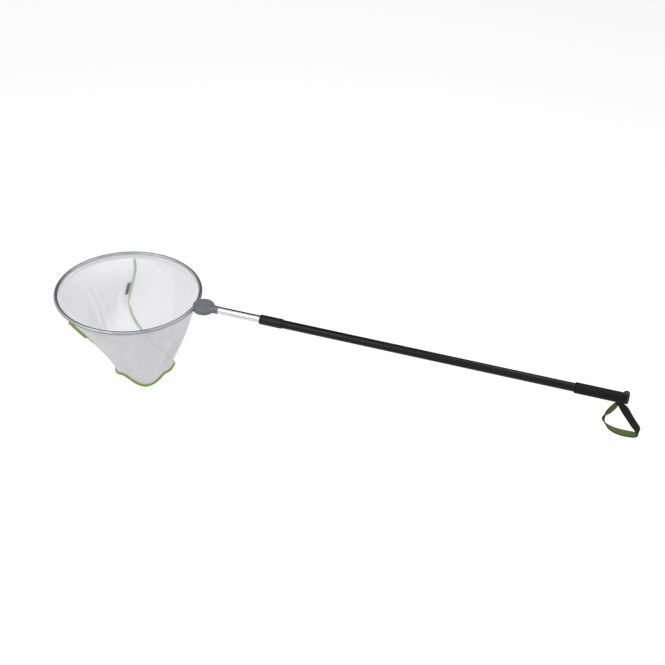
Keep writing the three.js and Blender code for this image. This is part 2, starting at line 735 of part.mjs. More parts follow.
// Wrist strap: places on its middle line from one end in the slot to the other, measured from the grip's
// underside below the pin, and the way its inner face looks.
const strapEndY = (strapLayerGap + strapThickness) / 2;
const strapEndZ = gripRadius - strapPinDepth + strapEndRise;
const strapRoute = [
  { at: [0, strapEndY, strapEndZ], inner: [0, -1, 0] },
  { at: [0, strapEndY, 0], inner: [0, -1, 0] },
  { at: [-0.6, strapEndY, -4], inner: [0, -1, 0] },
  { at: [-4, 2.4, -12], inner: [0.25, -0.95, 0] },
  { at: [-9, 2.6, -24.5], inner: [0.4, -0.9, 0] },
  { at: [-15, 1.6, -38.5], inner: [0.55, -0.8, 0.05] },
  { at: [-19.3, 0.4, -50], inner: [0.8, -0.5, 0.2] },
  { at: [-19.8, -0.2, -59.5], inner: [0.95, -0.15, 0.25] },
  { at: [-14, -0.6, -68.5], inner: [0.75, 0.25, 0.6] },
  { at: [-3.5, -1, -76], inner: [0.4, 0.1, 0.9] },
  { at: [10, -1, -81], inner: [0.15, -0.1, 0.95] },
  { at: [28, -0.6, -83.8], inner: [0.05, -0.25, 0.97] },
  { at: [46, 0, -83.5], inner: [0, -0.2, 0.97] },
  { at: [55.5, 0.7, -82.6], inner: [-0.2, -0.1, 0.95] },
  { at: [61.8, 1.2, -77], inner: [-0.85, 0.15, 0.5] },
  { at: [58.3, 1, -67.5], inner: [-0.8, 0.5, -0.3] },
  { at: [46, 0.5, -53.5], inner: [-0.65, 0.65, -0.4] },
  { at: [30.5, -0.5, -34.5], inner: [-0.6, 0.7, -0.35] },
  { at: [15.5, -1.6, -16], inner: [-0.45, 0.85, -0.2] },
  { at: [6, -2, -7], inner: [-0.25, 0.95, 0] },
  { at: [0.8, -strapEndY, -3.6], inner: [0, 1, 0] },
  { at: [0, -strapEndY, 0], inner: [0, 1, 0] },
  { at: [0, -strapEndY, strapEndZ], inner: [0, 1, 0] },
];
const strapPlaces = strapRoute.map(({ at: [x, y, z] }) =>
  new THREE.Vector3(strapPinX + x, y, z - gripRadius));
const strapLooks = strapRoute.map(({ inner }) => new THREE.Vector3(...inner));
const strapMiddle = new THREE.CatmullRomCurve3(strapPlaces, false, 'centripetal');
const strapInner = new THREE.CatmullRomCurve3(strapLooks);

// A flat band along the strap's middle line, moved to its inner side by offset.
function strapBand(skip, widthAt, thickness, offset) {
  const rings = Array.from({ length: strapSteps + 1 - 2 * skip }, (_, i) => {
    const u = (skip + i) / strapSteps;
    const middle = strapMiddle.getPoint(u);
    const along = strapMiddle.getTangent(u);
    const look = strapInner.getPoint(u);
    const inner = look.addScaledVector(along, -look.dot(along)).normalize();
    const across = along.clone().cross(inner).multiplyScalar(widthAt(u) / 2);
    const row = (share, lift) =>
      middle.clone().addScaledVector(across, share).addScaledVector(inner, offset + lift);
    const shares = Array.from({ length: strapColumns + 1 }, (_, k) => (2 * k) / strapColumns - 1);
    return [
      ...shares.map((share) => row(share, -thickness / 2)),
      ...shares.toReversed().map((share) => row(share, thickness / 2)),
    ];
  });
  return loft(rings, stripFaces(strapColumns));
}

function strapWidthAt(u) {
  const stop = 1 / (strapRoute.length - 1);
  const place = Math.min(u, 1 - u) / stop;
  const share = THREE.MathUtils.smoothstep(place, strapWidensFrom, strapWidensTo);
  return THREE.MathUtils.lerp(strapRootWidth, strapWidth, share);
}

function wristStrap() {
  return cut(strapBand(0, strapWidthAt, strapThickness, 0), strapPinHole());
}

function strapLining() {
  const offset = strapThickness / 2 + liningGap + liningThickness / 2;
  return strapBand(liningSkip, (u) => strapWidthAt(u) - 2 * liningMargin, liningThickness, offset);
}

// Assembly. The head's pieces are made about the middle of the hoop and placed with their group.
const net = new THREE.Group();
const head = new THREE.Group();
head.position.x = hoopCentreX;
net.add(head);

const tailHoles = [screwPlaces.connector_screw_left, screwPlaces.connector_screw_right]
  .map((place) => screw(place, seatGap));
const cord = hemCord();
addPiece(head, 'hoop', cut(sweepLevel(hoopPath(), hoopOutline()), ...tailHoles), aluminium);
addPiece(head, 'hem_cord', cord.solid, whiteTape);
addPiece(head, 'hem_band', hemBand(cord.radius), whiteTape);
addPiece(head, 'net_panel_near', cut(netPanel(nearPanel, nearPanelSteps), connectorRoom()), whiteNet);
addPiece(head, 'net_panel_far', netPanel(farPanel, farPanelSteps), whiteNet);
addPiece(head, 'seam_binding', seamBinding(), greenTape);
addPiece(head, 'label_tab', labelTab(), greyLabel);

const connector = connectorParts();
addPiece(head, 'connector_body', connector.body, greyPlastic);
addPiece(head, 'connector_cap', connector.cap, greyPlastic);
for (const [name, place] of Object.entries(screwPlaces)) {
  addPiece(head, name, connectorScrew(place), steel);
}
const innerTube = turned(tubeProfile(innerTubeStart, innerTubeEnd, innerBoreRadius, innerTubeRadius));
const rivetClear = neckRivetAt(rivetDiameter / 2 + seatGap, innerTubeRadius + past);
addPiece(head, 'inner_tube', cut(innerTube, rivetClear), aluminium);
addPiece(head, 'neck_rivet', neckRivetAt(rivetDiameter / 2, innerTubeRadius - seatGap), aluminium);

addPiece(head, 'lock_plug', lockPlug(), nylon);
const studEnds = [innerTubeEnd - studGrip, innerTubeEnd + studReach];
addPiece(head, 'lock_stud', turned(rodProfile(...studEnds, studDiameter / 2), screwSides), steel);
addPiece(head, 'expander_sleeve', expanderSleeve(), nylon);
addPiece(head, 'wedge_nut', wedgeNut(), nylon);
addPiece(head, 'stop_nut', stopNut(), steel);

const outerTube = turned(tubeProfile(tubeMouthX, tubeButtX, outerBoreRadius, outerTubeRadius));
addPiece(net, 'outer_tube', cut(outerTube, strapSlot(), strapPinHole()), blackEnamel);
const collarBore = outerTubeRadius + seatGap;
const collarEndX = collarNoseX + collarLength;
addPiece(net, 'guide_collar', turned([
  [collarNoseX, outerBoreRadius], [tubeMouthX - seatGap, outerBoreRadius],
  [tubeMouthX - seatGap, collarBore], [collarEndX, collarBore],
  [collarEndX, collarRadius], [collarNoseX + collarChamfer, collarRadius],
  [collarNoseX, collarRadius - collarChamfer], [collarNoseX, outerBoreRadius],
]), blackPlastic);
const grip = turned([
  [-tubeButtX, collarBore], [tubeButtX, collarBore], [tubeButtX, gripRadius],
  [gripChamfer - tubeButtX, gripRadius], [-tubeButtX, gripRadius - gripChamfer], [-tubeButtX, collarBore],
]);
addPiece(net, 'grip_sleeve', cut(grip, strapSlot()), gripRubber);
addPiece(net, 'end_plug', endPlug(), darkPlastic);
const strapPinLow = strapPinDepth + strapPinDiameter / 2;
const strapPinHalf = Math.sqrt(outerTubeRadius ** 2 - strapPinLow ** 2);
addPiece(net, 'strap_pin', crossPin(strapPinDiameter / 2, strapPinHalf, strapPinX, -strapPinDepth), steel);
addPiece(net, 'wrist_strap', wristStrap(), blackWebbing);
addPiece(net, 'strap_lining', strapLining(), oliveTape);

export default net;
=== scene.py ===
import math

import bpy
from mathutils import Matrix, Vector, noise


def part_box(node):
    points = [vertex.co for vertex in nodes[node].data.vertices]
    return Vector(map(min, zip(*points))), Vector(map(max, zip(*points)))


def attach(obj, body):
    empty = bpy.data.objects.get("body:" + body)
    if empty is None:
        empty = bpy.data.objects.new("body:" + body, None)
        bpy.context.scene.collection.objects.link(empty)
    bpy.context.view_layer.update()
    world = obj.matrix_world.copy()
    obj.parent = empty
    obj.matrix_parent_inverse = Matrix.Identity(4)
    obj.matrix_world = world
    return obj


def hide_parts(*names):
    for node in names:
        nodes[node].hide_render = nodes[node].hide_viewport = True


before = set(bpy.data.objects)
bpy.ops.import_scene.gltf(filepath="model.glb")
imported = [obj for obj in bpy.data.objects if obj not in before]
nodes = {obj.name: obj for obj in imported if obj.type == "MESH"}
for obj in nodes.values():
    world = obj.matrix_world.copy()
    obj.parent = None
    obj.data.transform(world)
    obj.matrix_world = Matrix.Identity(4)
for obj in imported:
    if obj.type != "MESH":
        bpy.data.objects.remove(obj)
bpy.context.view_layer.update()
scene = bpy.context.scene
mm = 0.001
print("frame loaded,", len(nodes), "nodes")


class Named(dict):  # a dictionary whose values are also read and set by name, as in pole.edge
    __getattr__ = dict.__getitem__
    __setattr__ = dict.__setitem__


# Shader building

class Tone:  # one output of a finish, where arithmetic adds Math nodes
    def __init__(self, finish, socket):
        self.finish = finish
        self.socket = socket

    def maths(self, operation, *others):
        return self.finish.node("ShaderNodeMath", {"operation": operation}, dict(enumerate((self, *others))))

    def __add__(self, other):
        return self.maths("ADD", other)

    def __sub__(self, other):
        return self.maths("SUBTRACT", other)

    def __rsub__(self, other):
        return self.maths("MULTIPLY_ADD", -1, other)

    def __mul__(self, other):
        return self.maths("MULTIPLY", other)

    def __pow__(self, other):
        return self.maths("POWER", other)

    __radd__ = __add__
    __rmul__ = __mul__

    def over(self, low, high):  # 0 below low, 1 above high, smooth between
        return self.finish.node("ShaderNodeMapRange", {"interpolation_type": "SMOOTHSTEP"},
                                {"Value": self, "From Min": low, "From Max": high})


class Finish:  # a material with its nodes
    def __init__(self, name, surface):
        self.material = bpy.data.materials.new(name)
        self.material.use_nodes = True
        self.tree = self.material.node_tree
        self.shader = self.tree.nodes["Principled BSDF"]
        self.fill(self.shader, surface)

    def fill(self, made, sockets):
        for key, value in sockets.items():
            if isinstance(value, Tone):
                self.tree.links.new(value.socket, made.inputs[key])
            else:
                made.inputs[key].default_value = value

    def node(self, kind, settings, sockets, output=0):
        made = self.tree.nodes.new(kind)
        for key, value in settings.items():
            setattr(made, key, value)
        self.fill(made, sockets)
        return Tone(self, made.outputs[output])

    def spot(self):  # where a point of the piece is, in metres
        return self.node("ShaderNodeTexCoord", {}, {}, "Object")

    def cloth(self):  # where a point of the cloth is on its flat cut, in metres
        return self.node("ShaderNodeUVMap", {"uv_map": "flatCut"}, {})

    def stretched(self, scale, turn=0, spot=None):
        return self.node("ShaderNodeMapping", {}, {
            "Vector": spot or self.spot(), "Scale": scale, "Rotation": (0, 0, turn),
        })

    def parts(self, vector):
        made = self.node("ShaderNodeSeparateXYZ", {}, {"Vector": vector})
        return [Tone(self, socket) for socket in made.socket.node.outputs]

    def grain(self, scale, detail=3, roughness=0.55, spot=None):
        return self.node("ShaderNodeTexNoise", {}, {
            "Vector": spot or self.spot(), "Scale": scale, "Detail": detail, "Roughness": roughness,
        })

    # What changes over the surface: two screen colours mixed by a share, roughness and a bump.
    def coat(self, share, first, second, rough, height, depth, strength=0.5, **more):
        colours = {0: share, 6: paint(*first), 7: paint(*second)}
        blend = self.node("ShaderNodeMix", {"data_type": "RGBA"}, colours, 2)
        bump = self.node("ShaderNodeBump", {}, {"Height": height, "Distance": depth, "Strength": strength})
        self.fill(self.shader, {"Base Color": blend, "Roughness": rough, "Normal": bump, **more})
        return self.material


def paint(red, green, blue):  # a colour as it looks on screen, 0 to 255
    shares = [value / 255 for value in (red, green, blue)]
    linear = [s / 12.92 if s <= 0.04045 else ((s + 0.055) / 1.055) ** 2.4 for s in shares]
    return (*linear, 1)


# Modelling helpers

def selectOnly(piece):
    bpy.ops.object.select_all(action="DESELECT")
    piece.select_set(True)
    bpy.context.view_layer.objects.active = piece


def addObject(name, operator, **settings):
    bpy.ops.object.select_all(action="DESELECT")
    operator(**settings)
    made = bpy.context.object
    made.name = made.data.name = name
    return made


def addPiece(name, operator, **settings):  # a new mesh, with its place put into its points
    piece = addObject(name, operator, **settings)
    bpy.ops.object.transform_apply(location=True, rotation=True, scale=True)
    return piece


def copyPiece(piece, name):
    copy = piece.copy()
    copy.data = piece.data.copy()
    copy.name = copy.data.name = name
    scene.collection.objects.link(copy)
    return copy


def selectMesh(action="SELECT"):
    bpy.ops.mesh.select_all(action=action)


def openMesh(piece):
    selectOnly(piece)
    bpy.ops.object.mode_set(mode="EDIT")
    selectMesh()


def extrude(move):
    bpy.ops.mesh.extrude_region_move(TRANSFORM_OT_translate={"value": move})


def closeMesh(merge=1e-6, fill=False):  # merges points that meet, fills open ends and leaves edit mode
    if merge:
        selectMesh()
        bpy.ops.mesh.remove_doubles(threshold=merge)
    if fill:
        selectMesh("DESELECT")
        bpy.ops.mesh.select_non_manifold()
        bpy.ops.mesh.fill_holes(sides=0)
    selectMesh()
    bpy.ops.mesh.normals_make_consistent(inside=False)
    bpy.ops.object.mode_set(mode="OBJECT")


def applyModifier(piece, kind, **settings):
    selectOnly(piece)
    modifier = piece.modifiers.new(kind.lower(), kind)
    for key, value in settings.items():
        setattr(modifier, key, value)
    bpy.ops.object.modifier_apply(modifier=modifier.name)


def subdivide(piece):
    applyModifier(piece, "SUBSURF", levels=1, render_levels=1)


def softenEdges(piece, width, segments=3, angle=32):
    applyModifier(piece, "BEVEL", width=width, segments=segments, limit_method="ANGLE",
                  angle_limit=math.radians(angle), use_clamp_overlap=True)


def carve(piece, cutter, operation="DIFFERENCE"):
    applyModifier(piece, "BOOLEAN", object=cutter, operation=operation, solver="EXACT")
    bpy.data.objects.remove(cutter)


def ringStart(name, axis, centre, radius, sides):  # a ring in edit mode, to be drawn out
    turn = ((0, math.pi / 2, 0), (math.pi / 2, 0, 0), (0, 0, 0))[axis]
    piece = addPiece(name, bpy.ops.mesh.primitive_circle_add, vertices=sides, radius=radius,
                     location=centre, rotation=turn)
    openMesh(piece)
    return piece


# A piece drawn out ring by ring along an axis. A station is a place on the axis and a radius, or two half
# sizes for an oval. A hollow one comes back to its first ring.
def drawOut(name, stations, sides=96, axis=0, centre=(0, 0, 0), hollow=False):
    way = Vector([float(i == axis) for i in range(3)])
    spread = [i for i in range(3) if i != axis]
    ovals = [station if len(station) == 3 else (*station, station[1]) for station in stations]
    if hollow:
        ovals.append(ovals[0])
    first = ovals[0]
    origin = Vector(centre) + way * first[0]
    piece = ringStart(name, axis, origin, first[1], sides)
    before = (first[0], first[1], first[1])
    for number, station in enumerate(ovals):
        if number > 0:
            extrude(way * (station[0] - before[0]))
        scale = [1, 1, 1]
        for k, i in enumerate(spread):
            scale[i] = station[k + 1] / before[k + 1]
        bpy.ops.transform.resize(value=scale, center_override=Vector(centre) + way * station[0])
        before = station
    closeMesh(1e-6 if hollow else 0, fill=not hollow)
    return piece


def blockPiece(name, low, high):
    low, high = Vector(low), Vector(high)
    return addPiece(name, bpy.ops.mesh.primitive_cube_add, size=1, location=(low + high) / 2,
                    scale=high - low)


# A flat grid laid by a rule: place takes shares across and along, flat gives the same point on the flat cut.
def layGrid(name, columns, rows, place, flat):
    piece = addPiece(name, bpy.ops.mesh.primitive_grid_add, x_subdivisions=columns,
                     y_subdivisions=rows, size=2)
    shares = [((v.co.x + 1) / 2, (v.co.y + 1) / 2) for v in piece.data.vertices]
    for vertex, (across, along) in zip(piece.data.vertices, shares):
        vertex.co = place(across, along)
    layer = piece.data.uv_layers[0]
    layer.name = "flatCut"
    for loop in piece.data.loops:
        layer.data[loop.index].uv = flat(*shares[loop.vertex_index])
    return piece, shares


# A closed outline laid ring by ring, with filled ends: place and flat take a ring and a corner.
def layTube(name, outline, rings, place, flat):
    count, last = len(outline), len(rings) - 1

    def pick(across, along):
        return rings[round(along * last)], outline[round(across * count) % count]

    piece, _ = layGrid(name, count, last, lambda *shares: place(*pick(*shares)),
                       lambda *shares: flat(*pick(*shares)))
    openMesh(piece)
    closeMesh(fill=True)
    return piece


def dress(piece, material, body, slot, *stoodFor, angle=38):  # edges sharper than the angle stay sharp
    selectOnly(piece)
    if angle:
        bpy.ops.object.shade_smooth_by_angle(angle=math.radians(angle))
    else:
        bpy.ops.object.shade_smooth()
    piece.data.materials.clear()
    piece.data.materials.append(material)
    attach(piece, body)
    if stoodFor:
        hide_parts(*stoodFor)
    return piece


def around(angle, radius=1, z=0):
    return Vector((radius * math.cos(angle), radius * math.sin(angle), z))


def lerp(first, second, share):
    return first + (second - first) * share


def ease(value, low, high):
    share = min(max((value - low) / (high - low), 0), 1)
    return share * share * (3 - 2 * share)


# Finishes

def drawnAluminium(name, spotOf, bright, dull, rough):
    finish = Finish(name, {"Metallic": 1, "Specular IOR Level": 0.5})
    lines = finish.grain(1, 4, 0.6, spotOf(finish))
    smudge = finish.grain(55)
    return finish.coat(smudge.over(0.3, 0.75), bright, dull, rough + 0.12 * lines + 0.08 * smudge, lines,
                       0.00002)


def tubeLines(finish):
    return finish.stretched((5, 1700, 1700))


def hoopLines(finish):
    x, y, z = finish.parts(finish.spot())
    east = x - hoop.centreX
    angle = y.maths("ARCTAN2", east)
    out = (east * east + y * y) ** 0.5
    return finish.node("ShaderNodeCombineXYZ", {}, {"X": angle * 3, "Y": out * 1700, "Z": z * 1700})


def blackEnamel():
    finish = Finish("blackEnamel", {"Specular IOR Level": 0.14, "Coat Roughness": 0.2, "Coat IOR": 1.5})
    peel = finish.grain(900, 2)
    rubs = finish.grain(1, 5, 0.65, finish.stretched((60, 900, 900))).over(0.66, 0.8)
    dull = finish.grain(40)
    return finish.coat(0.5 * rubs, (19, 19, 21), (58, 58, 60), 0.28 + 0.16 * dull + 0.1 * rubs,
                       peel, 0.00003, 0.35, **{"Coat Weight": 0.1 - 0.08 * rubs})


def mouldedPlastic(name, main, pale, rough, grainScale, grainDepth, shine=0.5):
    finish = Finish(name, {"Specular IOR Level": shine})
    grain = finish.grain(grainScale, 2)
    cloud = finish.grain(70, 4)
    nicks = finish.grain(1, 5, 0.7, finish.stretched((300, 900, 900))).over(0.68, 0.8)
    return finish.coat(0.35 * cloud + 0.5 * nicks, main, pale, rough + 0.12 * cloud - 0.06 * grain, grain,
                       grainDepth)


def gripRubber():
    finish = Finish("gripRubber", {"Specular IOR Level": 0.16})
    pits = finish.node("ShaderNodeTexVoronoi", {"feature": "F1"}, {"Vector": finish.spot(), "Scale": 1300})
    polish = finish.grain(1, 4, spot=finish.stretched((22, 220, 220)))
    dust = finish.grain(260, 5, 0.7).over(0.55, 0.8)
    return finish.coat(0.4 * dust, (19, 19, 21), (50, 50, 52), 0.5 + 0.25 * polish, pits, 0.00006)


def turnedSteel(name):
    finish = Finish(name, {"Metallic": 1})
    marks = finish.grain(1, spot=finish.stretched((900, 900, 2600)))
    tarnish = finish.grain(380, 4)
    return finish.coat(tarnish.over(0.35, 0.8), (182, 183, 186), (132, 132, 134),
                       0.24 + 0.18 * tarnish, marks, 0.00002, 0.4)


def nylonBody():
    finish = Finish("nylon", {"Subsurface Weight": 0.05})
    grain = finish.grain(500)
    return finish.coat(finish.grain(90), (222, 218, 205), (206, 201, 187),
                       0.42 + 0.1 * grain, grain, 0.00003, 0.4)


# Knotless mesh: threads of a diamond net with open holes, on the flat cut.
def netMesh(name, pitch, thread):
    finish = Finish(name, {"Sheen Weight": 0.15})
    cut = finish.cloth()
    u, v, _ = finish.parts(finish.stretched((1 / pitch, 1 / pitch, 1), math.pi / 4, cut))
    bars = [(way.maths("FRACT") - 0.5) * 2 for way in (u, v)]
    near = bars[0].maths("ABSOLUTE").maths("MAXIMUM", bars[1].maths("ABSOLUTE"))
    edge = 1 - thread / pitch
    alpha = near.maths("GREATER_THAN", edge)
    cloud = finish.grain(45, 4, spot=cut)
    return finish.coat(cloud, (251, 251, 252), (240, 240, 243), 0.62, near.over(edge, 1), 0.0001, Alpha=alpha)


# Woven tape: ribs across and threads along its flat cut.
def wovenTape(name, main, shade, rib, depth, sheen=0.1):
    finish = Finish(name, {"Sheen Weight": sheen, "Sheen Roughness": 0.4, "Specular IOR Level": 0.2})
    cut = finish.cloth()
    u, v, _ = finish.parts(cut)
    ribs = (v * (2 * math.pi / rib)).maths("SINE")
    threads = (u * (2 * math.pi / (0.8 * rib))).maths("SINE")
    weave = 0.5 + 0.3 * ribs + 0.2 * threads * ribs
    cloud = finish.grain(130, 4, spot=cut)
    fuzz = finish.grain(2200, 2, spot=cut)
    # the darker colour goes where the weave lies low, as painted shade in its valleys, and also at random
    # with the cloud and fuzz
    return finish.coat(0.45 * cloud + 0.4 * (1 - weave) + 0.15 * fuzz, main, shade, 0.78 + 0.12 * fuzz,
                       weave + 0.3 * fuzz, depth, 0.6)


def threadFinish(name, main, shade):
    finish = Finish(name, {"Sheen Weight": 0.2})
    twist = finish.grain(2600, 2)
    return finish.coat(twist, main, shade, 0.5 + 0.2 * twist, twist, 0.00005)


# Camera, fitted to the hoop and the pole, for a 665 by 665 picture

view = Named(
    azimuth=11.9893, elevation=36.6151, roll=4.9843, place=(-0.2654, -1.6319, 1.2466), focalPixels=900,
    picturePixels=665, sensor=36, clipEnd=100,
)


def setCamera():
    azimuth, elevation, roll = (math.radians(view[key]) for key in ("azimuth", "elevation", "roll"))
    back = around(azimuth - math.pi / 2, math.cos(elevation), math.sin(elevation))
    level = around(azimuth)
    upright = back.cross(level)
    right = math.cos(roll) * level + math.sin(roll) * upright
    up = math.cos(roll) * upright - math.sin(roll) * level
    camera = addObject("camera", bpy.ops.object.camera_add)
    camera.matrix_world = Matrix.Translation(view.place) @ Matrix((right, up, back)).transposed().to_4x4()
    camera.data.sensor_width = view.sensor
    camera.data.lens = view.sensor * view.focalPixels / view.picturePixels
    camera.data.clip_end = view.clipEnd
    scene.camera = camera


# Studio: a white floor well below, two soft lamps, a pale room, and a dark card that only gloss sees

studio = Named(
    floorZ=-0.95, floorSize=60, floorGrey=0.8, floorGlow=0.72, floorDim=0.42, roomLight=0.5,
    lamps=[
        Named(name="keyLamp", place=(-2.2, -2.2, 3.0), size=2.6, watts=54),
        Named(name="rearLamp", place=(0.5, 1.6, 3.0), size=2.0, watts=44),
    ],
    cardLow=(-6, 3.4, -0.9), cardHigh=(5, 3.42, 9.5), cardGrey=0.004, aim=(-0.6, 0, -0.05),
)


def grey(value):
    return (value, value, value, 1)


def seenDirectly(finish):  # 1 for rays that show the room itself
    path = finish.node("ShaderNodeLightPath", {}, {}, "Is Camera Ray")
    rays = [Tone(finish, path.socket.node.outputs[key])
            for key in ("Is Camera Ray", "Is Glossy Ray", "Is Transmission Ray")]
    return rays[0].maths("MAXIMUM", rays[1]).maths("MAXIMUM", rays[2])


def setStudio():
    scene.view_settings.view_transform = "Standard"
    room = bpy.data.worlds.new("room")
    room.use_nodes = True
    scene.world = room
    sky = Finish.__new__(Finish)
    sky.tree = room.node_tree
    strength = studio.roomLight + (1 - studio.roomLight) * seenDirectly(sky)
    sky.fill(sky.tree.nodes["Background"], {"Color": grey(1), "Strength": strength})

    floor = addPiece("floor", bpy.ops.mesh.primitive_plane_add, size=studio.floorSize,
                     location=(0, 0, studio.floorZ))
    paper = Finish("floorPaper", {"Base Color": grey(studio.floorGrey), "Roughness": 0.9})
    glow = paper.node("ShaderNodeEmission", {}, {"Color": grey(1), "Strength": studio.floorGlow})
    dim = paper.node("ShaderNodeBsdfDiffuse", {}, {"Color": grey(studio.floorDim)})
    lit = paper.node("ShaderNodeAddShader", {}, {0: glow, 1: dim})
    plain = Tone(paper, paper.shader.outputs[0])
    mixed = paper.node("ShaderNodeMixShader", {}, {0: seenDirectly(paper), 1: plain, 2: lit})
    paper.fill(paper.tree.nodes["Material Output"], {"Surface": mixed})
    floor.data.materials.append(paper.material)

    for lamp in studio.lamps:
        light = addObject(lamp.name, bpy.ops.object.light_add, type="AREA", location=lamp.place)
        light.data.energy = lamp.watts
        light.data.size = lamp.size
        aim = Vector(studio.aim) - light.location
        light.rotation_euler = aim.to_track_quat("-Z", "Y").to_euler()

    dark = Finish("cardBlack", {"Base Color": grey(studio.cardGrey), "Roughness": 1, "Specular IOR Level": 0})
    card = blockPiece("rearCard", studio.cardLow, studio.cardHigh)
    card.data.materials.append(dark.material)
    for kind in ("camera", "diffuse", "transmission", "shadow"):
        setattr(card, "visible_" + kind, False)


setCamera()
setStudio()
print("camera and studio set")


# Pole: tubes, collar, grip, end plug

seatGap = 0.0003  # between pieces that sit in or on one another
pole = Named(
    innerWall=0.0008, outerWall=0.0007, wallEdge=0.3, edge=0.0003,
    collar=Named(chamfer=0.0012, slope=1.6, rear=(0.0006, 0.0005)),
    grip=Named(chamfer=0.0014, slope=1.4, rear=(0.0008, 0.0006)), plugRound=0.0012, plugEdge=0.0007,
    tabRadius=0.007, tabWidth=0.009, tabRound=0.0014, tabSides=72, tabCut=0.4, slotX=(0.0355, 0.0525),
    slotHalf=0.0023, slotZ=(-0.03, 0.001), tabRoom=3,
)


def tubePiece(name, node, wall):
    low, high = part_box(node)
    outer = high.z
    piece = drawOut(name, [(low.x, outer), (high.x, outer), (high.x, outer - wall), (low.x, outer - wall)],
                    hollow=True)
    softenEdges(piece, pole.wallEdge * wall, 2)
    return piece


def sleevePiece(name, node, shape, inside):  # front chamfer, rear edge, then the stations of its inside
    low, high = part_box(node)
    chamfer, (rearX, rearZ) = shape.chamfer, shape.rear
    piece = drawOut(name, [
        (low.x, high.z - chamfer), (low.x + shape.slope * chamfer, high.z), (high.x - rearX, high.z),
        (high.x, high.z - rearZ), *inside,
    ], hollow=True)
    softenEdges(piece, pole.edge)
    return piece


def cutSlot(piece):
    low, high = ((pole.slotX[i], (-1, 1)[i] * pole.slotHalf, pole.slotZ[i]) for i in (0, 1))
    carve(piece, blockPiece("slotTool", low, high))


def makePole():
    inner = tubePiece("innerTube", "inner_tube", pole.innerWall)
    bare = drawnAluminium("drawnTube", tubeLines, (218, 220, 222), (203, 205, 208), 0.17)
    dress(inner, bare, "head", "bare_aluminium", "inner_tube")

    outer = tubePiece("outerTube", "outer_tube", pole.outerWall)
    cutSlot(outer)
    dress(outer, blackEnamel(), "handle", "black_enamel", "outer_tube")

    low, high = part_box("guide_collar")
    tubeLow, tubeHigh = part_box("outer_tube")
    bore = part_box("inner_tube")[1].z + seatGap
    seat = tubeHigh.z + seatGap
    mouth = tubeLow.x - seatGap
    collar = sleevePiece("guideCollar", "guide_collar", pole.collar,
                         [(high.x, seat), (mouth, seat), (mouth, bore), (low.x, bore)])
    black = mouldedPlastic("blackPlastic", (24, 24, 26), (48, 47, 49), 0.36, 1500, 0.00004, 0.2)
    dress(collar, black, "handle", "black_plastic", "guide_collar")

    low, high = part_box("grip_sleeve")
    grip = sleevePiece("handGrip", "grip_sleeve", pole.grip, [(high.x, seat), (low.x, seat)])
    cutSlot(grip)
    dress(grip, gripRubber(), "handle", "grip_rubber", "grip_sleeve")
    print("tubes, collar and grip made")


def makePlug():
    low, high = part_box("end_plug")
    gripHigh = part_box("grip_sleeve")[1]
    face = gripHigh.x + seatGap
    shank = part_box("outer_tube")[1].z - pole.outerWall - seatGap
    edge = pole.plugRound
    plug = drawOut("endPlug", [
        (low.x, shank), (face, shank), (face, gripHigh.z), (high.x - edge, gripHigh.z),
        (high.x, gripHigh.z - edge),
    ])
    radius, half, edge = pole.tabRadius, pole.tabWidth / 2, pole.tabRound
    part = pole.tabCut * edge
    tab = drawOut("tab", [
        (-half, radius - edge), (-half + part, radius - part), (-half + edge, radius), (half - edge, radius),
        (half - part, radius - part), (half, radius - edge),
    ], pole.tabSides, 1, (high.x - radius, 0, gripHigh.z))
    above = gripHigh.z + seatGap
    carve(tab, drawOut("gripRoom", [(high.x - pole.tabRoom * radius, above), (face, above)]))
    carve(plug, tab, "UNION")
    cutSlot(plug)
    softenEdges(plug, pole.plugEdge, 3, 50)
    dark = mouldedPlastic("darkPlastic", (38, 39, 42), (84, 84, 86), 0.34, 1300, 0.00004, 0.35)
    dress(plug, dark, "handle", "dark_plastic", "end_plug")
    print("end plug made")


# Hoop: one slotted tube, its two straight tails side by side in the connector, which gives its place

connector = Named(
    radius=0.026, half=0.0075, round=0.003, roundSteps=8, sides=128, overlap=0.005, neckRise=0.0006,
    rootMargin=0.004, rootSink=0.0007, rootInset=0.014, concavity=1.8, neckSteps=24, neckSides=64,
    spigotRoot=0.003, channelRoom=0.0002, channelSides=24, capLip=0.0045, split=0.00015, voxel=0.0006,
    smoothing=0.5, smoothings=7, roomSide=0.05, roomTop=0.03,
)
hoop = Named(
    radius=0.1705, tube=0.0045, wall=0.0013, tailSpacing=0.014, bend=0.010, tailReach=0.015, sides=36,
    slotSides=2, roundSteps=210, bendSteps=10, merge=1e-7,
)
connector.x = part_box("connector_body")[0].x + connector.radius
hoop.centreX = connector.x - (hoop.radius + connector.radius - connector.overlap)
tailEnd = Vector((connector.x + hoop.tailReach, hoop.tailSpacing / 2, 0))


# Sweeps the selected ring or face along the hoop's centre line and leaves edit mode.
def sweepHoop():
    bendY = hoop.tailSpacing / 2 + hoop.bend
    bendX = math.sqrt((hoop.radius + hoop.bend) ** 2 - bendY ** 2)
    start = math.atan2(bendY, bendX)
    tail = connector.x + hoop.tailReach - (hoop.centreX + bendX)
    turn = math.pi / 2 - start
    bends = [
        (hoop.bendSteps, turn, (hoop.centreX + bendX, bendY, 0)),
        (hoop.roundSteps, 2 * start - 2 * math.pi, (hoop.centreX, 0, 0)),
        (hoop.bendSteps, turn, (hoop.centreX + bendX, -bendY, 0)),
    ]
    extrude((-tail, 0, 0))
    for steps, angle, centre in bends:
        bpy.ops.mesh.spin(steps=steps, angle=angle, axis=(0, 0, 1), center=centre)
    extrude((tail, 0, 0))
    bpy.ops.mesh.select_mode(type="VERT")
    closeMesh(hoop.merge)


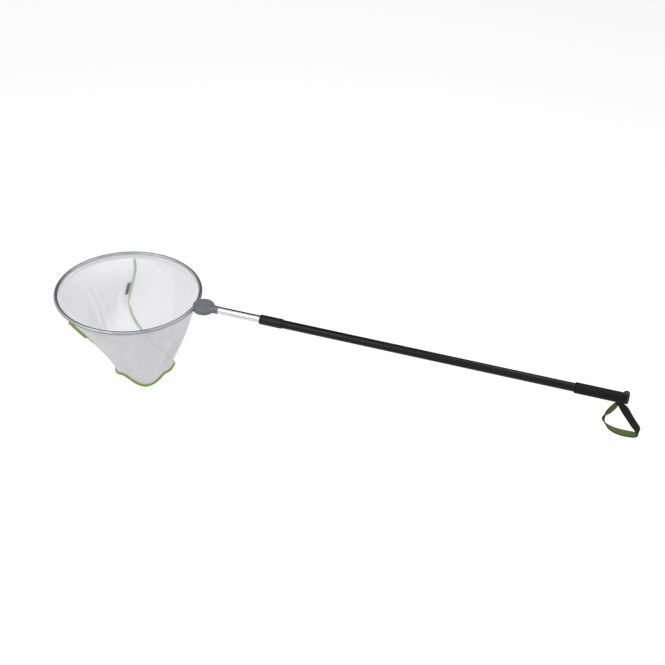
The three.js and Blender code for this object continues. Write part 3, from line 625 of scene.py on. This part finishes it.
def makeHoop():
    piece = ringStart("hoopTube", 0, tailEnd, hoop.tube, hoop.sides)
    share = 1 - hoop.wall / hoop.tube
    bpy.ops.mesh.extrude_region_move()
    bpy.ops.transform.resize(value=(1, share, share), center_override=tailEnd)
    bpy.ops.object.mode_set(mode="OBJECT")
    for face in piece.data.polygons:  # the slot that takes the hem, on the inner side
        out = (face.center - tailEnd).normalized()
        face.select = out.y < -math.cos(math.pi * hoop.slotSides / hoop.sides)
    bpy.ops.object.mode_set(mode="EDIT")
    bpy.ops.mesh.select_mode(type="FACE")
    bpy.ops.mesh.delete(type="FACE")
    selectMesh()
    sweepHoop()
    bare = drawnAluminium("drawnHoop", hoopLines, (174, 176, 180), (156, 158, 162), 0.34)
    dress(piece, bare, "head", "bare_aluminium", "hoop", angle=45)
    print("hoop made,", len(piece.data.polygons), "faces")


# Connector: a disc that runs into a round neck, split into body and screwed cap

screw = Named(
    names=("connector_screw_left", "connector_screw_right", "connector_screw_front"), sides=40,
    headHeight=0.002, shank=0.00145, point=0.0012, tip=0.0004, socket=0.0012, socketDepth=0.0012,
    socketSides=6, edge=0.00035, holeLow=-0.02, holeSides=32, holeRadius=0.0017, holeRoom=0.0002,
)
rivet = Named(head=1.45, neck=0.0011, dome=((-0.0009, 1), (-0.00035, 0.93), (0, 0.66), (0.00012, 0.3)))


def screwPlace(name):  # its box, the middle of its axis and its head's radius
    low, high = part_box(name)
    return low, high, ((low.x + high.x) / 2, (low.y + high.y) / 2, 0), (high.x - low.x) / 2


def makeConnector():
    radius, half, edge = connector.radius, connector.half, connector.round
    x, steps = connector.x, connector.roundSteps
    corner = [(math.sin(a), math.cos(a)) for a in (math.pi / 2 * i / steps for i in range(steps + 1))]
    upper = [(half - edge + edge * c, radius - edge + edge * s) for s, c in corner]
    lower = [(-z, r) for z, r in upper]
    whole = drawOut("connectorBody", lower + upper[::-1], connector.sides, 2, (x, 0, 0))
    tubeLow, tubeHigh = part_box("inner_tube")
    neckEnd = tubeLow.x - seatGap
    endRadius = tubeHigh.z + connector.neckRise
    rootWide = radius - connector.rootMargin
    rootHigh = half - connector.rootSink
    stations = []
    for i in range(connector.neckSteps + 1):
        share = i / connector.neckSteps
        wide = endRadius + (rootWide - endRadius) * (1 - share) ** connector.concavity
        stations.append((lerp(x + connector.rootInset, neckEnd, share), wide,
                         lerp(rootHigh, endRadius, ease(share, 0, 1))))
    carve(whole, drawOut("neck", stations, connector.neckSides), "UNION")
    applyModifier(whole, "REMESH", mode="VOXEL", voxel_size=connector.voxel)
    applyModifier(whole, "SMOOTH", factor=connector.smoothing, iterations=connector.smoothings)

    bore = tubeHigh.z - pole.innerWall - seatGap
    spigot = [(neckEnd - connector.spigotRoot, bore), (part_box("connector_body")[1].x, bore)]
    carve(whole, drawOut("spigot", spigot, connector.neckSides), "UNION")
    channel = ringStart("channel", 0, tailEnd, hoop.tube + connector.channelRoom, connector.channelSides)
    bpy.ops.mesh.edge_face_add()
    bpy.ops.mesh.select_mode(type="FACE")
    sweepHoop()
    carve(whole, channel)
    for name in screw.names:
        low, high, middle, head = screwPlace(name)
        under = low.z + screw.headHeight + seatGap
        carve(whole, drawOut("hole", [
            (screw.holeLow, head + seatGap), (under, head + seatGap), (under, screw.holeRadius),
            (high.z + screw.holeRoom, screw.holeRadius),
        ], screw.holeSides, 2, middle))

    capEnd = x + radius + connector.capLip
    gap, side, top = connector.split, connector.roomSide, connector.roomTop
    cap = copyPiece(whole, "connectorCap")
    carve(cap, blockPiece("capRoom", (x - side, -side, gap), (capEnd - gap, side, top)), "INTERSECT")
    carve(whole, blockPiece("bodyRoom", (x - side, -side, -gap), (capEnd + gap, side, top)))
    plastic = mouldedPlastic("greyPlastic", (111, 113, 118), (142, 144, 149), 0.34, 1400, 0.00005)
    for piece, node in ((whole, "connector_body"), (cap, "connector_cap")):
        dress(piece, plastic, "head", "grey_plastic", node, angle=40)
    print("connector made,", len(whole.data.polygons), "and", len(cap.data.polygons), "faces")


def makeFasteners():
    steel = turnedSteel("screwSteel")
    for name in screw.names:
        low, high, middle, head = screwPlace(name)
        under = low.z + screw.headHeight
        piece = drawOut("screw" + name.split("_")[-1].title(), [
            (low.z, head), (under, head), (under, screw.shank), (high.z - screw.point, screw.shank),
            (high.z, screw.tip),
        ], screw.sides, 2, middle)
        socket = [(low.z - screw.headHeight, screw.socket), (low.z + screw.socketDepth, screw.socket)]
        carve(piece, drawOut("driver", socket, screw.socketSides, 2, middle))
        softenEdges(piece, screw.edge, 2, 50)
        dress(piece, steel, "head", "steel", name)
    low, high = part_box("neck_rivet")
    shank = (high.x - low.x) / 2
    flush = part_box("inner_tube")[1].z
    upper = [(flush + rise, share * rivet.head * shank) for rise, share in rivet.dome]
    profile = [(-z, r) for z, r in reversed(upper)]
    profile += [(-flush + rivet.neck, shank), (flush - rivet.neck, shank)] + upper
    piece = drawOut("neckRivet", profile, screw.sides, 2, ((low.x + high.x) / 2, 0, 0))
    dress(piece, turnedSteel("rivetMetal"), "head", "steel", "neck_rivet")
    print("screws and rivet made")


makePole()
makePlug()
makeHoop()
makeConnector()
makeFasteners()


# Bag, measured from the middle of the hoop. Shares run round a panel (w) and down it (t).

bag = Named(
    rimRadius=0.1643, rimZ=-0.0102, backSeamAngle=112.5, frontSeamAngle=120,
    bottomMiddle=(0.029, 0.010, -0.235), bottomHalf=0.074, bottomTurn=47, bottomTilt=-0.011,
    bottomSag=0.057, sagPower=1.8, swingAt=0.78, swingWidth=0.2, swing=0.013, bottomGap=0.001,
    backBow=(-0.088, 0.018, 0), frontBow=(-0.014, 0.018, 0), bowLean=1.8, cornerPull=3, thickness=0.0005,
    pitch=0.0016, thread=0.00048, rows=54,
)
hoopMiddle = Vector((hoop.centreX, 0, 0))
backAngle = math.radians(bag.backSeamAngle)
frontAngle = math.radians(bag.frontSeamAngle)
bottomTurn = math.radians(bag.bottomTurn)
bottomWay = around(bottomTurn, bag.bottomHalf, bag.bottomTilt)
bottomSide = Vector((bottomWay.y, -bottomWay.x, 0)).normalized()
nearArc = backAngle + frontAngle
farArc = 2 * math.pi - nearArc
alongSeam = bottomTurn - math.pi / 2
nearPanel = Named(
    start=backAngle, arc=-nearArc, way=1, turn=(backAngle - alongSeam) / nearArc, columns=126, bulge=0.003,
    backReach=0.35, frontReach=0.3, slack=-0.015, cap=0.004,
)
farPanel = Named(
    start=-frontAngle, arc=-farArc, way=-1, turn=(math.pi - frontAngle - alongSeam) / farArc, columns=78,
    bulge=-0.010, backReach=0.9, frontReach=0.7, slack=-0.018, cap=0.0015,
)
bowTop = bag.bowLean / (bag.bowLean + 1)
bowPeak = bowTop ** bag.bowLean * (1 - bowTop)
swingEnd = math.exp(-((1 - bag.swingAt) / bag.swingWidth) ** 2)


def bottomPoint(share):
    point = Vector(bag.bottomMiddle) + bottomWay * share
    point.z -= bag.bottomSag * (1 - share * share) ** bag.sagPower
    swing = math.exp(-((share - bag.swingAt) / bag.swingWidth) ** 2) - swingEnd
    return point + bottomSide * (bag.swing * max(swing, 0))


def turnReach(panel, before):
    return math.tanh(bag.cornerPull * (panel.turn if before else 1 - panel.turn))


def seamShare(panel, w):  # where on the bottom seam the net from a place on the rim ends
    way = math.tanh(bag.cornerPull * (panel.turn - w)) / turnReach(panel, w < panel.turn)
    return panel.way * way


def placeAround(panel, share):  # and back
    way = panel.way * share
    return panel.turn - math.atanh(way * turnReach(panel, way > 0)) / bag.cornerPull


def fade(distance, reach):
    return math.cos(math.pi / 2 * min(distance / reach, 1)) ** 2


def panelPoint(panel, w, t):
    angle = panel.start + panel.arc * w
    outward = around(angle)
    rim = outward * bag.rimRadius + Vector((0, 0, bag.rimZ))
    bottom = bottomPoint(seamShare(panel, w)) + bottomSide * (panel.way * bag.bottomGap / 2)
    back, front = (w, 1 - w) if panel.way > 0 else (1 - w, w)
    bow = t ** bag.bowLean * (1 - t) / bowPeak
    point = lerp(rim, bottom, t) + outward * (4 * t * (1 - t) * math.sin(math.pi * w) ** 2 * panel.bulge)
    point += Vector(bag.backBow) * (bow * fade(back, panel.backReach))
    point += Vector(bag.frontBow) * (bow * fade(front, panel.frontReach))
    return hoopMiddle + point


def panelNormal(panel, w, t):
    step = 0.001
    across = panelPoint(panel, min(w + step, 1), t) - panelPoint(panel, max(w - step, 0), t)
    down = panelPoint(panel, w, min(t + step, 1)) - panelPoint(panel, w, max(t - step, 0))
    return across.cross(down).normalized()


# Folds that the hanging cloth keeps: start (w, t), end (w, t), height out of the cloth, half width.
farPanel.folds = (
    (0.28, 0.08, 0.40, 0.8, -0.006, 0.045), (0.40, 0.10, 0.52, 0.8, 0.006, 0.045),
    (0.60, 0.12, 0.80, 0.7, -0.0055, 0.020), (0.69, 0.16, 0.95, 0.78, -0.006, 0.017),
    (0.77, 0.18, 0.985, 0.7, -0.0045, 0.015),
)
nearPanel.folds = (
    (0.735, 0.06, 0.80, 0.86, -0.007, 0.022), (0.785, 0.05, 0.85, 0.86, 0.007, 0.025),
    (0.755, 0.02, 0.69, 0.68, -0.005, 0.018), (0.70, 0.04, 0.60, 0.2, -0.004, 0.020),
    (0.632, 0.04, 0.56, 0.5, -0.004, 0.020), (0.93, 0.20, 0.93, 0.9, 0.003, 0.016),
    (0.88, 0.12, 0.90, 0.85, -0.004, 0.018), (0.55, 0.22, 0.60, 0.95, -0.005, 0.016),
    (0.49, 0.12, 0.57, 0.9, 0.005, 0.018), (0.42, 0.06, 0.50, 0.8, -0.005, 0.016),
    (0.36, 0.10, 0.42, 0.85, 0.004, 0.018), (0.26, 0.04, 0.36, 0.7, -0.004, 0.016),
    (0.20, 0.20, 0.27, 0.85, 0.004, 0.022),
)
foldTaper = 1.2


def foldHeight(panel, w, t):
    total = 0
    for w0, t0, w1, t1, height, width in panel.folds:
        share = (t - t0) / (t1 - t0)
        if 0 < share < 1:
            away = (w - lerp(w0, w1, share)) / width
            total += height * math.exp(-away * away) * math.sin(math.pi * share) ** foldTaper
    return total


cloth = Named(
    settings=Named(
        quality=7, mass=0.02, tension_stiffness=12, compression_stiffness=12, shear_stiffness=4,
        bending_stiffness=0.12, vertex_group_mass="sewn",
    ),
    frames=24, edge=0.001, bottomCap=0.045, taped=(0.06, 0.12),
)


def settleCloth(piece, panel, shares):
    mesh = piece.data
    start = [v.co.copy() for v in mesh.vertices]
    sewn = piece.vertex_groups.new(name=cloth.settings["vertex_group_mass"])
    edge = [v.index for v, (w, t) in zip(mesh.vertices, shares) if min(w, 1 - w, t, 1 - t) < cloth.edge]
    sewn.add(edge, 1, "REPLACE")
    modifier = piece.modifiers.new("settle", "CLOTH")
    for key, value in cloth.settings.items():
        setattr(modifier.settings, key, value)
    modifier.settings.shrink_min = panel.slack
    modifier.collision_settings.use_collision = False
    modifier.point_cache.frame_end = cloth.frames
    for number in range(1, cloth.frames + 1):
        scene.frame_set(number)
    selectOnly(piece)
    bpy.ops.object.modifier_apply(modifier=modifier.name)
    scene.frame_set(1)
    for vertex, place, (w, t) in zip(mesh.vertices, start, shares):
        move = vertex.co - place
        most = min(panel.cap, cloth.bottomCap * (1 - t)) * ease(min(w, 1 - w), *cloth.taped)
        if move.length > most:
            vertex.co = place + move * (most / move.length)
    piece.vertex_groups.clear()


def flatRule(panel):  # a panel's flat cut: true widths row by row, true length down its middle
    columns, rows = panel.columns, bag.rows
    widths, depths = [], [0]
    for j in range(rows + 1):
        row = [panelPoint(panel, i / columns, j / rows) for i in range(columns + 1)]
        widths.append(sum((b - a).length for a, b in zip(row, row[1:])))
    middle = [panelPoint(panel, 0.5, j / rows) for j in range(rows + 1)]
    for a, b in zip(middle, middle[1:]):
        depths.append(depths[-1] + (b - a).length)

    def flat(w, along):
        j = round((1 - along) * rows)
        return ((w - 0.5) * widths[j], -depths[j])
    return flat, widths, depths


def makePanel(name, panel, node, material):
    flat, widths, depths = flatRule(panel)
    piece, grid = layGrid(name, panel.columns, bag.rows,
                          lambda w, along: panelPoint(panel, w, 1 - along), flat)
    shares = [(w, 1 - along) for w, along in grid]
    settleCloth(piece, panel, shares)
    for vertex, (w, t) in zip(piece.data.vertices, shares):
        vertex.co += panelNormal(panel, w, t) * foldHeight(panel, w, t)
    subdivide(piece)
    applyModifier(piece, "SOLIDIFY", thickness=bag.thickness, offset=0)
    dress(piece, material, "head", "white_net", node, angle=None)
    area = sum((a + b) / 2 * (d1 - d0) for a, b, d0, d1 in zip(widths, widths[1:], depths, depths[1:]))
    cut = (max(widths), depths[-1])
    print(name, "made, flat", [round(x, 3) for x in cut], round(area, 4))
    return piece, cut, area


hem = Named(
    sides=240, thread=0.00052, drop=0.0118, wave=0.00022, puckers=((190, 1), (520, 0.6)), sway=0.0004,
    swayScale=240, swaySeed=9, still=0.001, stitchZ=-0.0094, stitchIn=0.00145, stitches=236,
    stitchLength=0.0030, stitchRadius=0.00028,
    upper=((0.0005, 0.0012), (0.0006, -0.0004), (0.0002, -0.0009), (-0.003, -0.0014), (-0.007, -0.0014)),
    edge=(-0.0014, -0.0006),
    lower=((-0.007, -0.0005), (-0.003, -0.0004), (-0.0007, 0.0002), (-0.0006, 0.0012)),
)
hemBore = hoop.radius - hoop.tube


def makeHem():
    drop = hem.drop
    profile = (*hem.upper, *((-drop, out) for out in hem.edge), *hem.lower)
    piece = drawOut("hemBand", [(z, hemBore + out) for z, out in profile], hem.sides, 2,
                    tuple(hoopMiddle), hollow=True)
    for vertex in piece.data.vertices:  # the sewn cloth puckers a little
        out = (vertex.co - hoopMiddle) * Vector((1, 1, 0))
        low = ease(-vertex.co.z, hem.still, drop)
        pucker = sum(share * noise.noise(out * scale) for scale, share in hem.puckers)
        vertex.co += out.normalized() * (hem.wave * low * pucker)
        vertex.co.z += hem.sway * low * noise.noise(out * hem.swayScale + Vector((0, 0, hem.swaySeed)))
    subdivide(piece)
    layer = piece.data.uv_layers.new(name="flatCut")
    for loop in piece.data.loops:
        spot = piece.data.vertices[loop.vertex_index].co - hoopMiddle
        layer.data[loop.index].uv = (spot.z, math.atan2(spot.y, spot.x) * hemBore)
    double = netMesh("doubledNet", bag.pitch, hem.thread)
    return dress(piece, double, "head", "white_tape", "hem_band", angle=50)


# Copies of one small stitch: each row gives its middle, its way and the way out of the cloth.
def sewStitches(name, rows, size, material, body, slot):
    length, radius = size.stitchLength, size.stitchRadius
    model = addPiece(name, bpy.ops.mesh.primitive_uv_sphere_add, segments=6, ring_count=4, radius=1)
    openMesh(model)
    bpy.ops.transform.resize(value=(radius, radius, length / 2))
    bpy.ops.object.mode_set(mode="OBJECT")
    copies = []
    for middle, along, out in rows:
        along = along.normalized()
        side = along.cross(out).normalized()
        turn = Matrix((side, side.cross(along), along)).transposed().to_4x4()
        copies.append(copyPiece(model, name))
        copies[-1].data.transform(Matrix.Translation(middle) @ turn)
    bpy.data.objects.remove(model)
    selectOnly(copies[0])
    for copy in copies:
        copy.select_set(True)
    bpy.ops.object.join()
    piece = bpy.context.object
    piece.name = piece.data.name = name
    return dress(piece, material, body, slot, angle=None)


def hemStitches():
    rows = []
    radius = hemBore - hem.stitchIn
    for i in range(hem.stitches):
        angle = 2 * math.pi * (i + 0.5) / hem.stitches
        middle = hoopMiddle + around(angle, radius, hem.stitchZ)
        rows.append((middle, around(angle + math.pi / 2), around(angle)))
    thread = threadFinish("whiteThread", (246, 246, 248), (222, 222, 226))
    return sewStitches("hemStitches", rows, hem, thread, "head", "white_tape")


# Green tape folded over the seam: down the front, along the bottom and up the back

binding = Named(
    width=0.007, thickness=0.0009, stand=0.0005, start=0.012, steps=60, lean=4, leanFrom=0.32, leanTo=0.62,
    tuck=0.007, beside=0.02, frontTurnFrom=0.92, turnFrom=0.75, turn=3, look=0.4, twistAt=0.52,
    twistWidth=0.12, twist=0.9, wave=0.0012, waves=((42, 3, 1), (130, 8, 0.5)), waveSide=1.6, rib=0.0011,
    tuckFade=3, stitchLength=0.0027, stitchRadius=0.00024, stitchOut=0.7, stitchSink=0.85,
    outline=((0, 0.8), (0.25, 0.75), (0.6, 0.8), (0.88, 1), (0.97, 0.65), (1, 0)),
)
sectionShares = (0, 0.25, 0.5, 0.75)


def sectionMiddle(t):
    points = [panelPoint(panel, w, t) for panel in (nearPanel, farPanel) for w in sectionShares]
    return sum(points, Vector()) / len(points)


def seamRun():
    steps = binding.steps
    stops = [i / steps for i in range(steps + 1)]
    heights = [lerp(binding.start, 1, stop) for stop in stops]
    run = []
    for t in heights:
        upright = ease(t, binding.frontTurnFrom, 1)
        lean = binding.lean * ease(t, binding.leanFrom, binding.leanTo) * (1 - upright)
        run.append((1, 0, t, farPanel, lean, upright))
    for share in (2 * stop - 1 for stop in stops[1:-1]):
        run.append((placeAround(nearPanel, share), placeAround(farPanel, share), 1, nearPanel, 0, 1))
    for t in reversed(heights):
        upright = ease(t, binding.turnFrom, 1)
        twist = binding.twist * math.exp(-((t - binding.twistAt) / binding.twistWidth) ** 2)
        run.append((0, 1, t, nearPanel, binding.lean * (1 - upright) * (1 - twist), upright))
    points = [lerp(panelPoint(nearPanel, near, t), panelPoint(farPanel, far, t), 0.5)
              for near, far, t, *_ in run]
    rings = []
    passed = 0
    for i, (near, far, t, panel, lean, upright) in enumerate(run):
        along = (points[min(i + 1, len(run) - 1)] - points[max(i - 1, 0)]).normalized()
        across = (panelNormal(nearPanel, near, t) + panelNormal(farPanel, far, t)).normalized()
        lying = lean / math.hypot(lean, 1)
        base, tuck = points[i], 0
        if panel is farPanel:  # hidden from the front: further back on the panel
            tuck = binding.tuck * lying * (1 - upright) ** binding.tuckFade * binding.beside
            tuck /= (panelPoint(panel, binding.beside, t) - base).length
            base = lerp(base, panelPoint(panel, tuck, t), lying)
        across = lerp(across, panelNormal(panel, tuck + binding.beside, t), lying).normalized()
        aside = (panelPoint(panel, tuck + binding.beside, t) - base).normalized()
        away = (points[i] - sectionMiddle(max(t - binding.look, 0))).normalized()
        away = away * (binding.turn * upright) + across + aside * lean
        out = (away - along * away.dot(along)).normalized()
        stand = binding.stand + lying * binding.thickness / 2
        passed += (points[i] - points[max(i - 1, 0)]).length
        at = base + lerp(out, across, lying).normalized() * stand
        rings.append(Named(at=at, along=along, out=out, side=along.cross(out), run=passed))
    return rings


def makeBinding():
    rings = seamRun()
    width, half = binding.width, binding.thickness / 2
    outline = [(out * width, side * half) for out, side in binding.outline]
    outline += [(out, -side) for out, side in reversed(outline[:-1])]

    def onTape(ring, corner):
        out, side = corner
        wave = sum(share * noise.noise(Vector((ring.run * scale, row, 0)))
                   for scale, row, share in binding.waves)
        wave *= binding.wave * (out / width)
        return ring.at + ring.out * out + ring.side * (side + binding.waveSide * wave)

    piece = layTube("seamBinding", outline, rings, onTape, lambda ring, corner: (corner[0], ring.run))
    subdivide(piece)
    green = wovenTape("greenTape", (166, 208, 118), (136, 178, 90), binding.rib, 0.00012)
    dress(piece, green, "head", "green_tape", "seam_binding", angle=50)
    out, sides = binding.stitchOut * width, (-half, half)
    rows = [(onTape(ring, (out, binding.stitchSink * side)), ring.along, ring.side)
            for ring in rings[1:-1] for side in sides]
    thread = threadFinish("greenThread", (134, 178, 92), (104, 146, 66))
    return piece, sewStitches("bindingStitches", rows, binding, thread, "head", "green_tape")


label = Named(
    top=0.27, foot=0.41, width=0.009, inset=0.0015, thickness=0.0009, stand=0.0014, curl=0.0006, curlFrom=3,
    curlTurn=5, columns=8, rows=24, edge=0.0002, rib=0.0008, beside=6,
)


def makeLabel():
    edge = label.inset / (abs(farPanel.arc) * bag.rimRadius)

    def place(across, along):
        t = lerp(label.foot, label.top, along)
        seam = panelPoint(farPanel, 1 - edge, t)
        way = (panelPoint(farPanel, 1 - label.beside * edge, t) - seam).normalized()
        lift = label.stand + label.curl * across * math.sin(label.curlFrom + label.curlTurn * along)
        return seam + way * (label.width * across) - panelNormal(farPanel, 1 - edge, t) * lift

    span = (place(0, 1) - place(0, 0)).length
    piece, _ = layGrid("labelTab", label.columns, label.rows, place,
                       lambda across, along: (across * label.width, along * span))
    applyModifier(piece, "SOLIDIFY", thickness=label.thickness, offset=0)
    softenEdges(piece, label.edge, 2, 60)
    tape = wovenTape("greyLabel", (152, 154, 157), (120, 122, 126), label.rib, 0.00006)
    return dress(piece, tape, "head", "grey_label", "label_tab", angle=50)


# Wrist strap: webbing with a tape sewn to its inner face. Places from the grip's underside below the pin,
# and the way the inner face looks.

strap = Named(
    origin=(0.044, 0, -0.0125), width=0.018, rootWidth=0.010, thickness=0.0014, rib=0.0016,
    liningMargin=0.00125, liningThickness=0.0008, liningGap=0.0001, liningRib=0.0011, widensFrom=2,
    widensTo=4.5, steps=264, skip=33, stitchGap=0.0034, stitchAcross=0.42, stitchLength=0.0024,
    stitchRadius=0.00025,
    upper=(
        (-1, 0.35), (-0.97, 1), (-0.8, 0.96), (-0.4, 1), (0, 1), (0.4, 1), (0.8, 0.96), (0.97, 1),
        (1, 0.35),
    ),
    route=[
        ((0, 1.3, 11.5), (0, -1, 0)), ((0, 1.3, 0), (0, -1, 0)), ((-0.6, 1.3, -4), (0, -1, 0)),
        ((-4, 2.4, -12), (0.25, -0.95, 0)), ((-9, 2.6, -24.5), (0.4, -0.9, 0)),
        ((-15, 1.6, -38.5), (0.62, -0.7, 0.05)), ((-19.3, 0.4, -50), (0.92, -0.12, 0.06)),
        ((-19.8, -0.2, -59.5), (0.94, 0.28, 0.1)), ((-14, -0.6, -68.5), (0.72, 0.32, 0.46)),
        ((-3.5, -1, -76), (0.4, 0.1, 0.9)), ((10, -1, -81), (0.15, -0.1, 0.95)),
        ((28, -0.6, -83.8), (0.05, -0.25, 0.97)), ((46, 0, -83.5), (0, -0.2, 0.97)),
        ((55.5, 0.7, -82.6), (-0.2, -0.1, 0.95)), ((61.8, 1.2, -77), (-0.85, 0.15, 0.5)),
        ((58.3, 1, -67.5), (-0.8, 0.5, -0.3)), ((46, 0.5, -53.5), (-0.65, 0.65, -0.4)),
        ((30.5, -0.5, -34.5), (-0.6, 0.7, -0.35)), ((15.5, -1.6, -16), (-0.45, 0.85, -0.2)),
        ((6, -2, -7), (-0.25, 0.95, 0)), ((0.8, -1.3, -3.6), (0, 1, 0)), ((0, -1.3, 0), (0, 1, 0)),
        ((0, -1.3, 11.5), (0, 1, 0)),
    ],
)


# A point on a smooth line through all the places, with knots spaced by a power of the squared distance.
def throughPlaces(places, u, power=0.25):
    last = len(places) - 1
    at = min(max(u, 0), 1) * last
    i = min(int(at), last - 1)
    share = at - i
    p1, p2 = places[i], places[i + 1]
    p0 = places[i - 1] if i > 0 else p1 * 2 - p2
    p3 = places[i + 2] if i + 2 <= last else p2 * 2 - p1
    d0, d1, d2 = ((b - a).length_squared ** power or 1 for a, b in ((p0, p1), (p1, p2), (p2, p3)))
    m1 = ((p1 - p0) / d0 - (p2 - p0) / (d0 + d1) + (p2 - p1) / d1) * d1
    m2 = ((p2 - p1) / d1 - (p3 - p1) / (d1 + d2) + (p3 - p2) / d2) * d1
    s2, s3 = share * share, share ** 3
    return p1 * (2 * s3 - 3 * s2 + 1) + m1 * (s3 - 2 * s2 + share) + p2 * (3 * s2 - 2 * s3) + m2 * (s3 - s2)


strapPlaces = [Vector(strap.origin) + Vector(place) * mm for place, _ in strap.route]
strapLooks = [Vector(look) for _, look in strap.route]


def strapFrame(u):
    middle = throughPlaces(strapPlaces, u)
    step = 0.001
    along = (throughPlaces(strapPlaces, u + step) - throughPlaces(strapPlaces, u - step)).normalized()
    look = throughPlaces(strapLooks, u, 0)
    inner = (look - along * look.dot(along)).normalized()
    return middle, along, inner, along.cross(inner)


def strapWidth(u):
    place = min(u, 1 - u) * (len(strap.route) - 1)
    return lerp(strap.rootWidth, strap.width, ease(place, strap.widensFrom, strap.widensTo))


def liningWidth(u):
    return strapWidth(u) - 2 * strap.liningMargin


def makeBand(name, skip, widthAt, thickness, offset):
    stops = [(skip + i) / strap.steps for i in range(strap.steps + 1 - 2 * skip)]
    rings = []
    run = 0
    for u in stops:
        middle, _, inner, side = strapFrame(u)
        if rings:
            run += (middle - rings[-1][0]).length
        rings.append((middle, inner, side, widthAt(u) / 2, run))
    outline = [*strap.upper, *((across, -lift) for across, lift in reversed(strap.upper))]

    def place(ring, corner):
        middle, inner, side, half, _ = ring
        return middle + side * (corner[0] * half) + inner * (offset + corner[1] * thickness / 2)

    piece = layTube(name, outline, rings, place, lambda ring, corner: (corner[0] * ring[3], ring[4]))
    return piece, run


def makeStrap():
    webbing, length = makeBand("wristStrap", 0, strapWidth, strap.thickness, 0)
    black = wovenTape("blackWebbing", (46, 47, 43), (20, 21, 18), strap.rib, 0.0002, 0.06)
    dress(webbing, black, "strap", "black_webbing", "wrist_strap", angle=55)
    offset = strap.thickness / 2 + strap.liningGap + strap.liningThickness / 2
    lining, liningLength = makeBand("strapLining", strap.skip, liningWidth, strap.liningThickness, offset)
    olive = wovenTape("oliveTape", (107, 129, 74), (76, 96, 46), strap.liningRib, 0.0001)
    dress(lining, olive, "strap", "olive_tape", "strap_lining", angle=55)

    rows = []
    top = offset + strap.liningThickness / 2
    count = int(liningLength / strap.stitchGap)
    for edge in (-strap.stitchAcross, strap.stitchAcross):
        for i in range(1, count):
            u = lerp(strap.skip, strap.steps - strap.skip, i / count) / strap.steps
            middle, along, inner, side = strapFrame(u)
            rows.append((middle + side * (edge * liningWidth(u)) + inner * top, along, inner))
    thread = threadFinish("oliveThread", (84, 106, 56), (58, 78, 38))
    stitches = sewStitches("strapStitches", rows, strap, thread, "strap", "olive_tape")
    liningWidth(0.5)
    print("strap made,", round(length, 4), "m of webbing and", round(liningLength, 4), "m of lining")


def makeBag():
    mesh = netMesh("whiteNet", bag.pitch, bag.thread)
    near, nearFlat, nearArea = makePanel("netNear", nearPanel, "net_panel_near", mesh)
    far, farFlat, farArea = makePanel("netFar", farPanel, "net_panel_far", mesh)
    band = makeHem()
    sewing = hemStitches()
    tape, tapeSewing = makeBinding()
    tab = makeLabel()
    print("bag made")


makeBag()
makeStrap()


# What stays as the CAD has it: the lock inside the pole, the pin and the cord in the hoop

def finishHidden():
    nylon = nylonBody()
    steel = turnedSteel("lockSteel")
    cordWhite = threadFinish("cordWhite", (232, 232, 228), (208, 208, 203))
    kept = {"lock_plug": nylon, "expander_sleeve": nylon, "wedge_nut": nylon, "lock_stud": steel,
            "stop_nut": steel, "strap_pin": steel, "hem_cord": cordWhite}
    for name, material in kept.items():
        nodes[name].data.materials.clear()
        nodes[name].data.materials.append(material)


finishHidden()
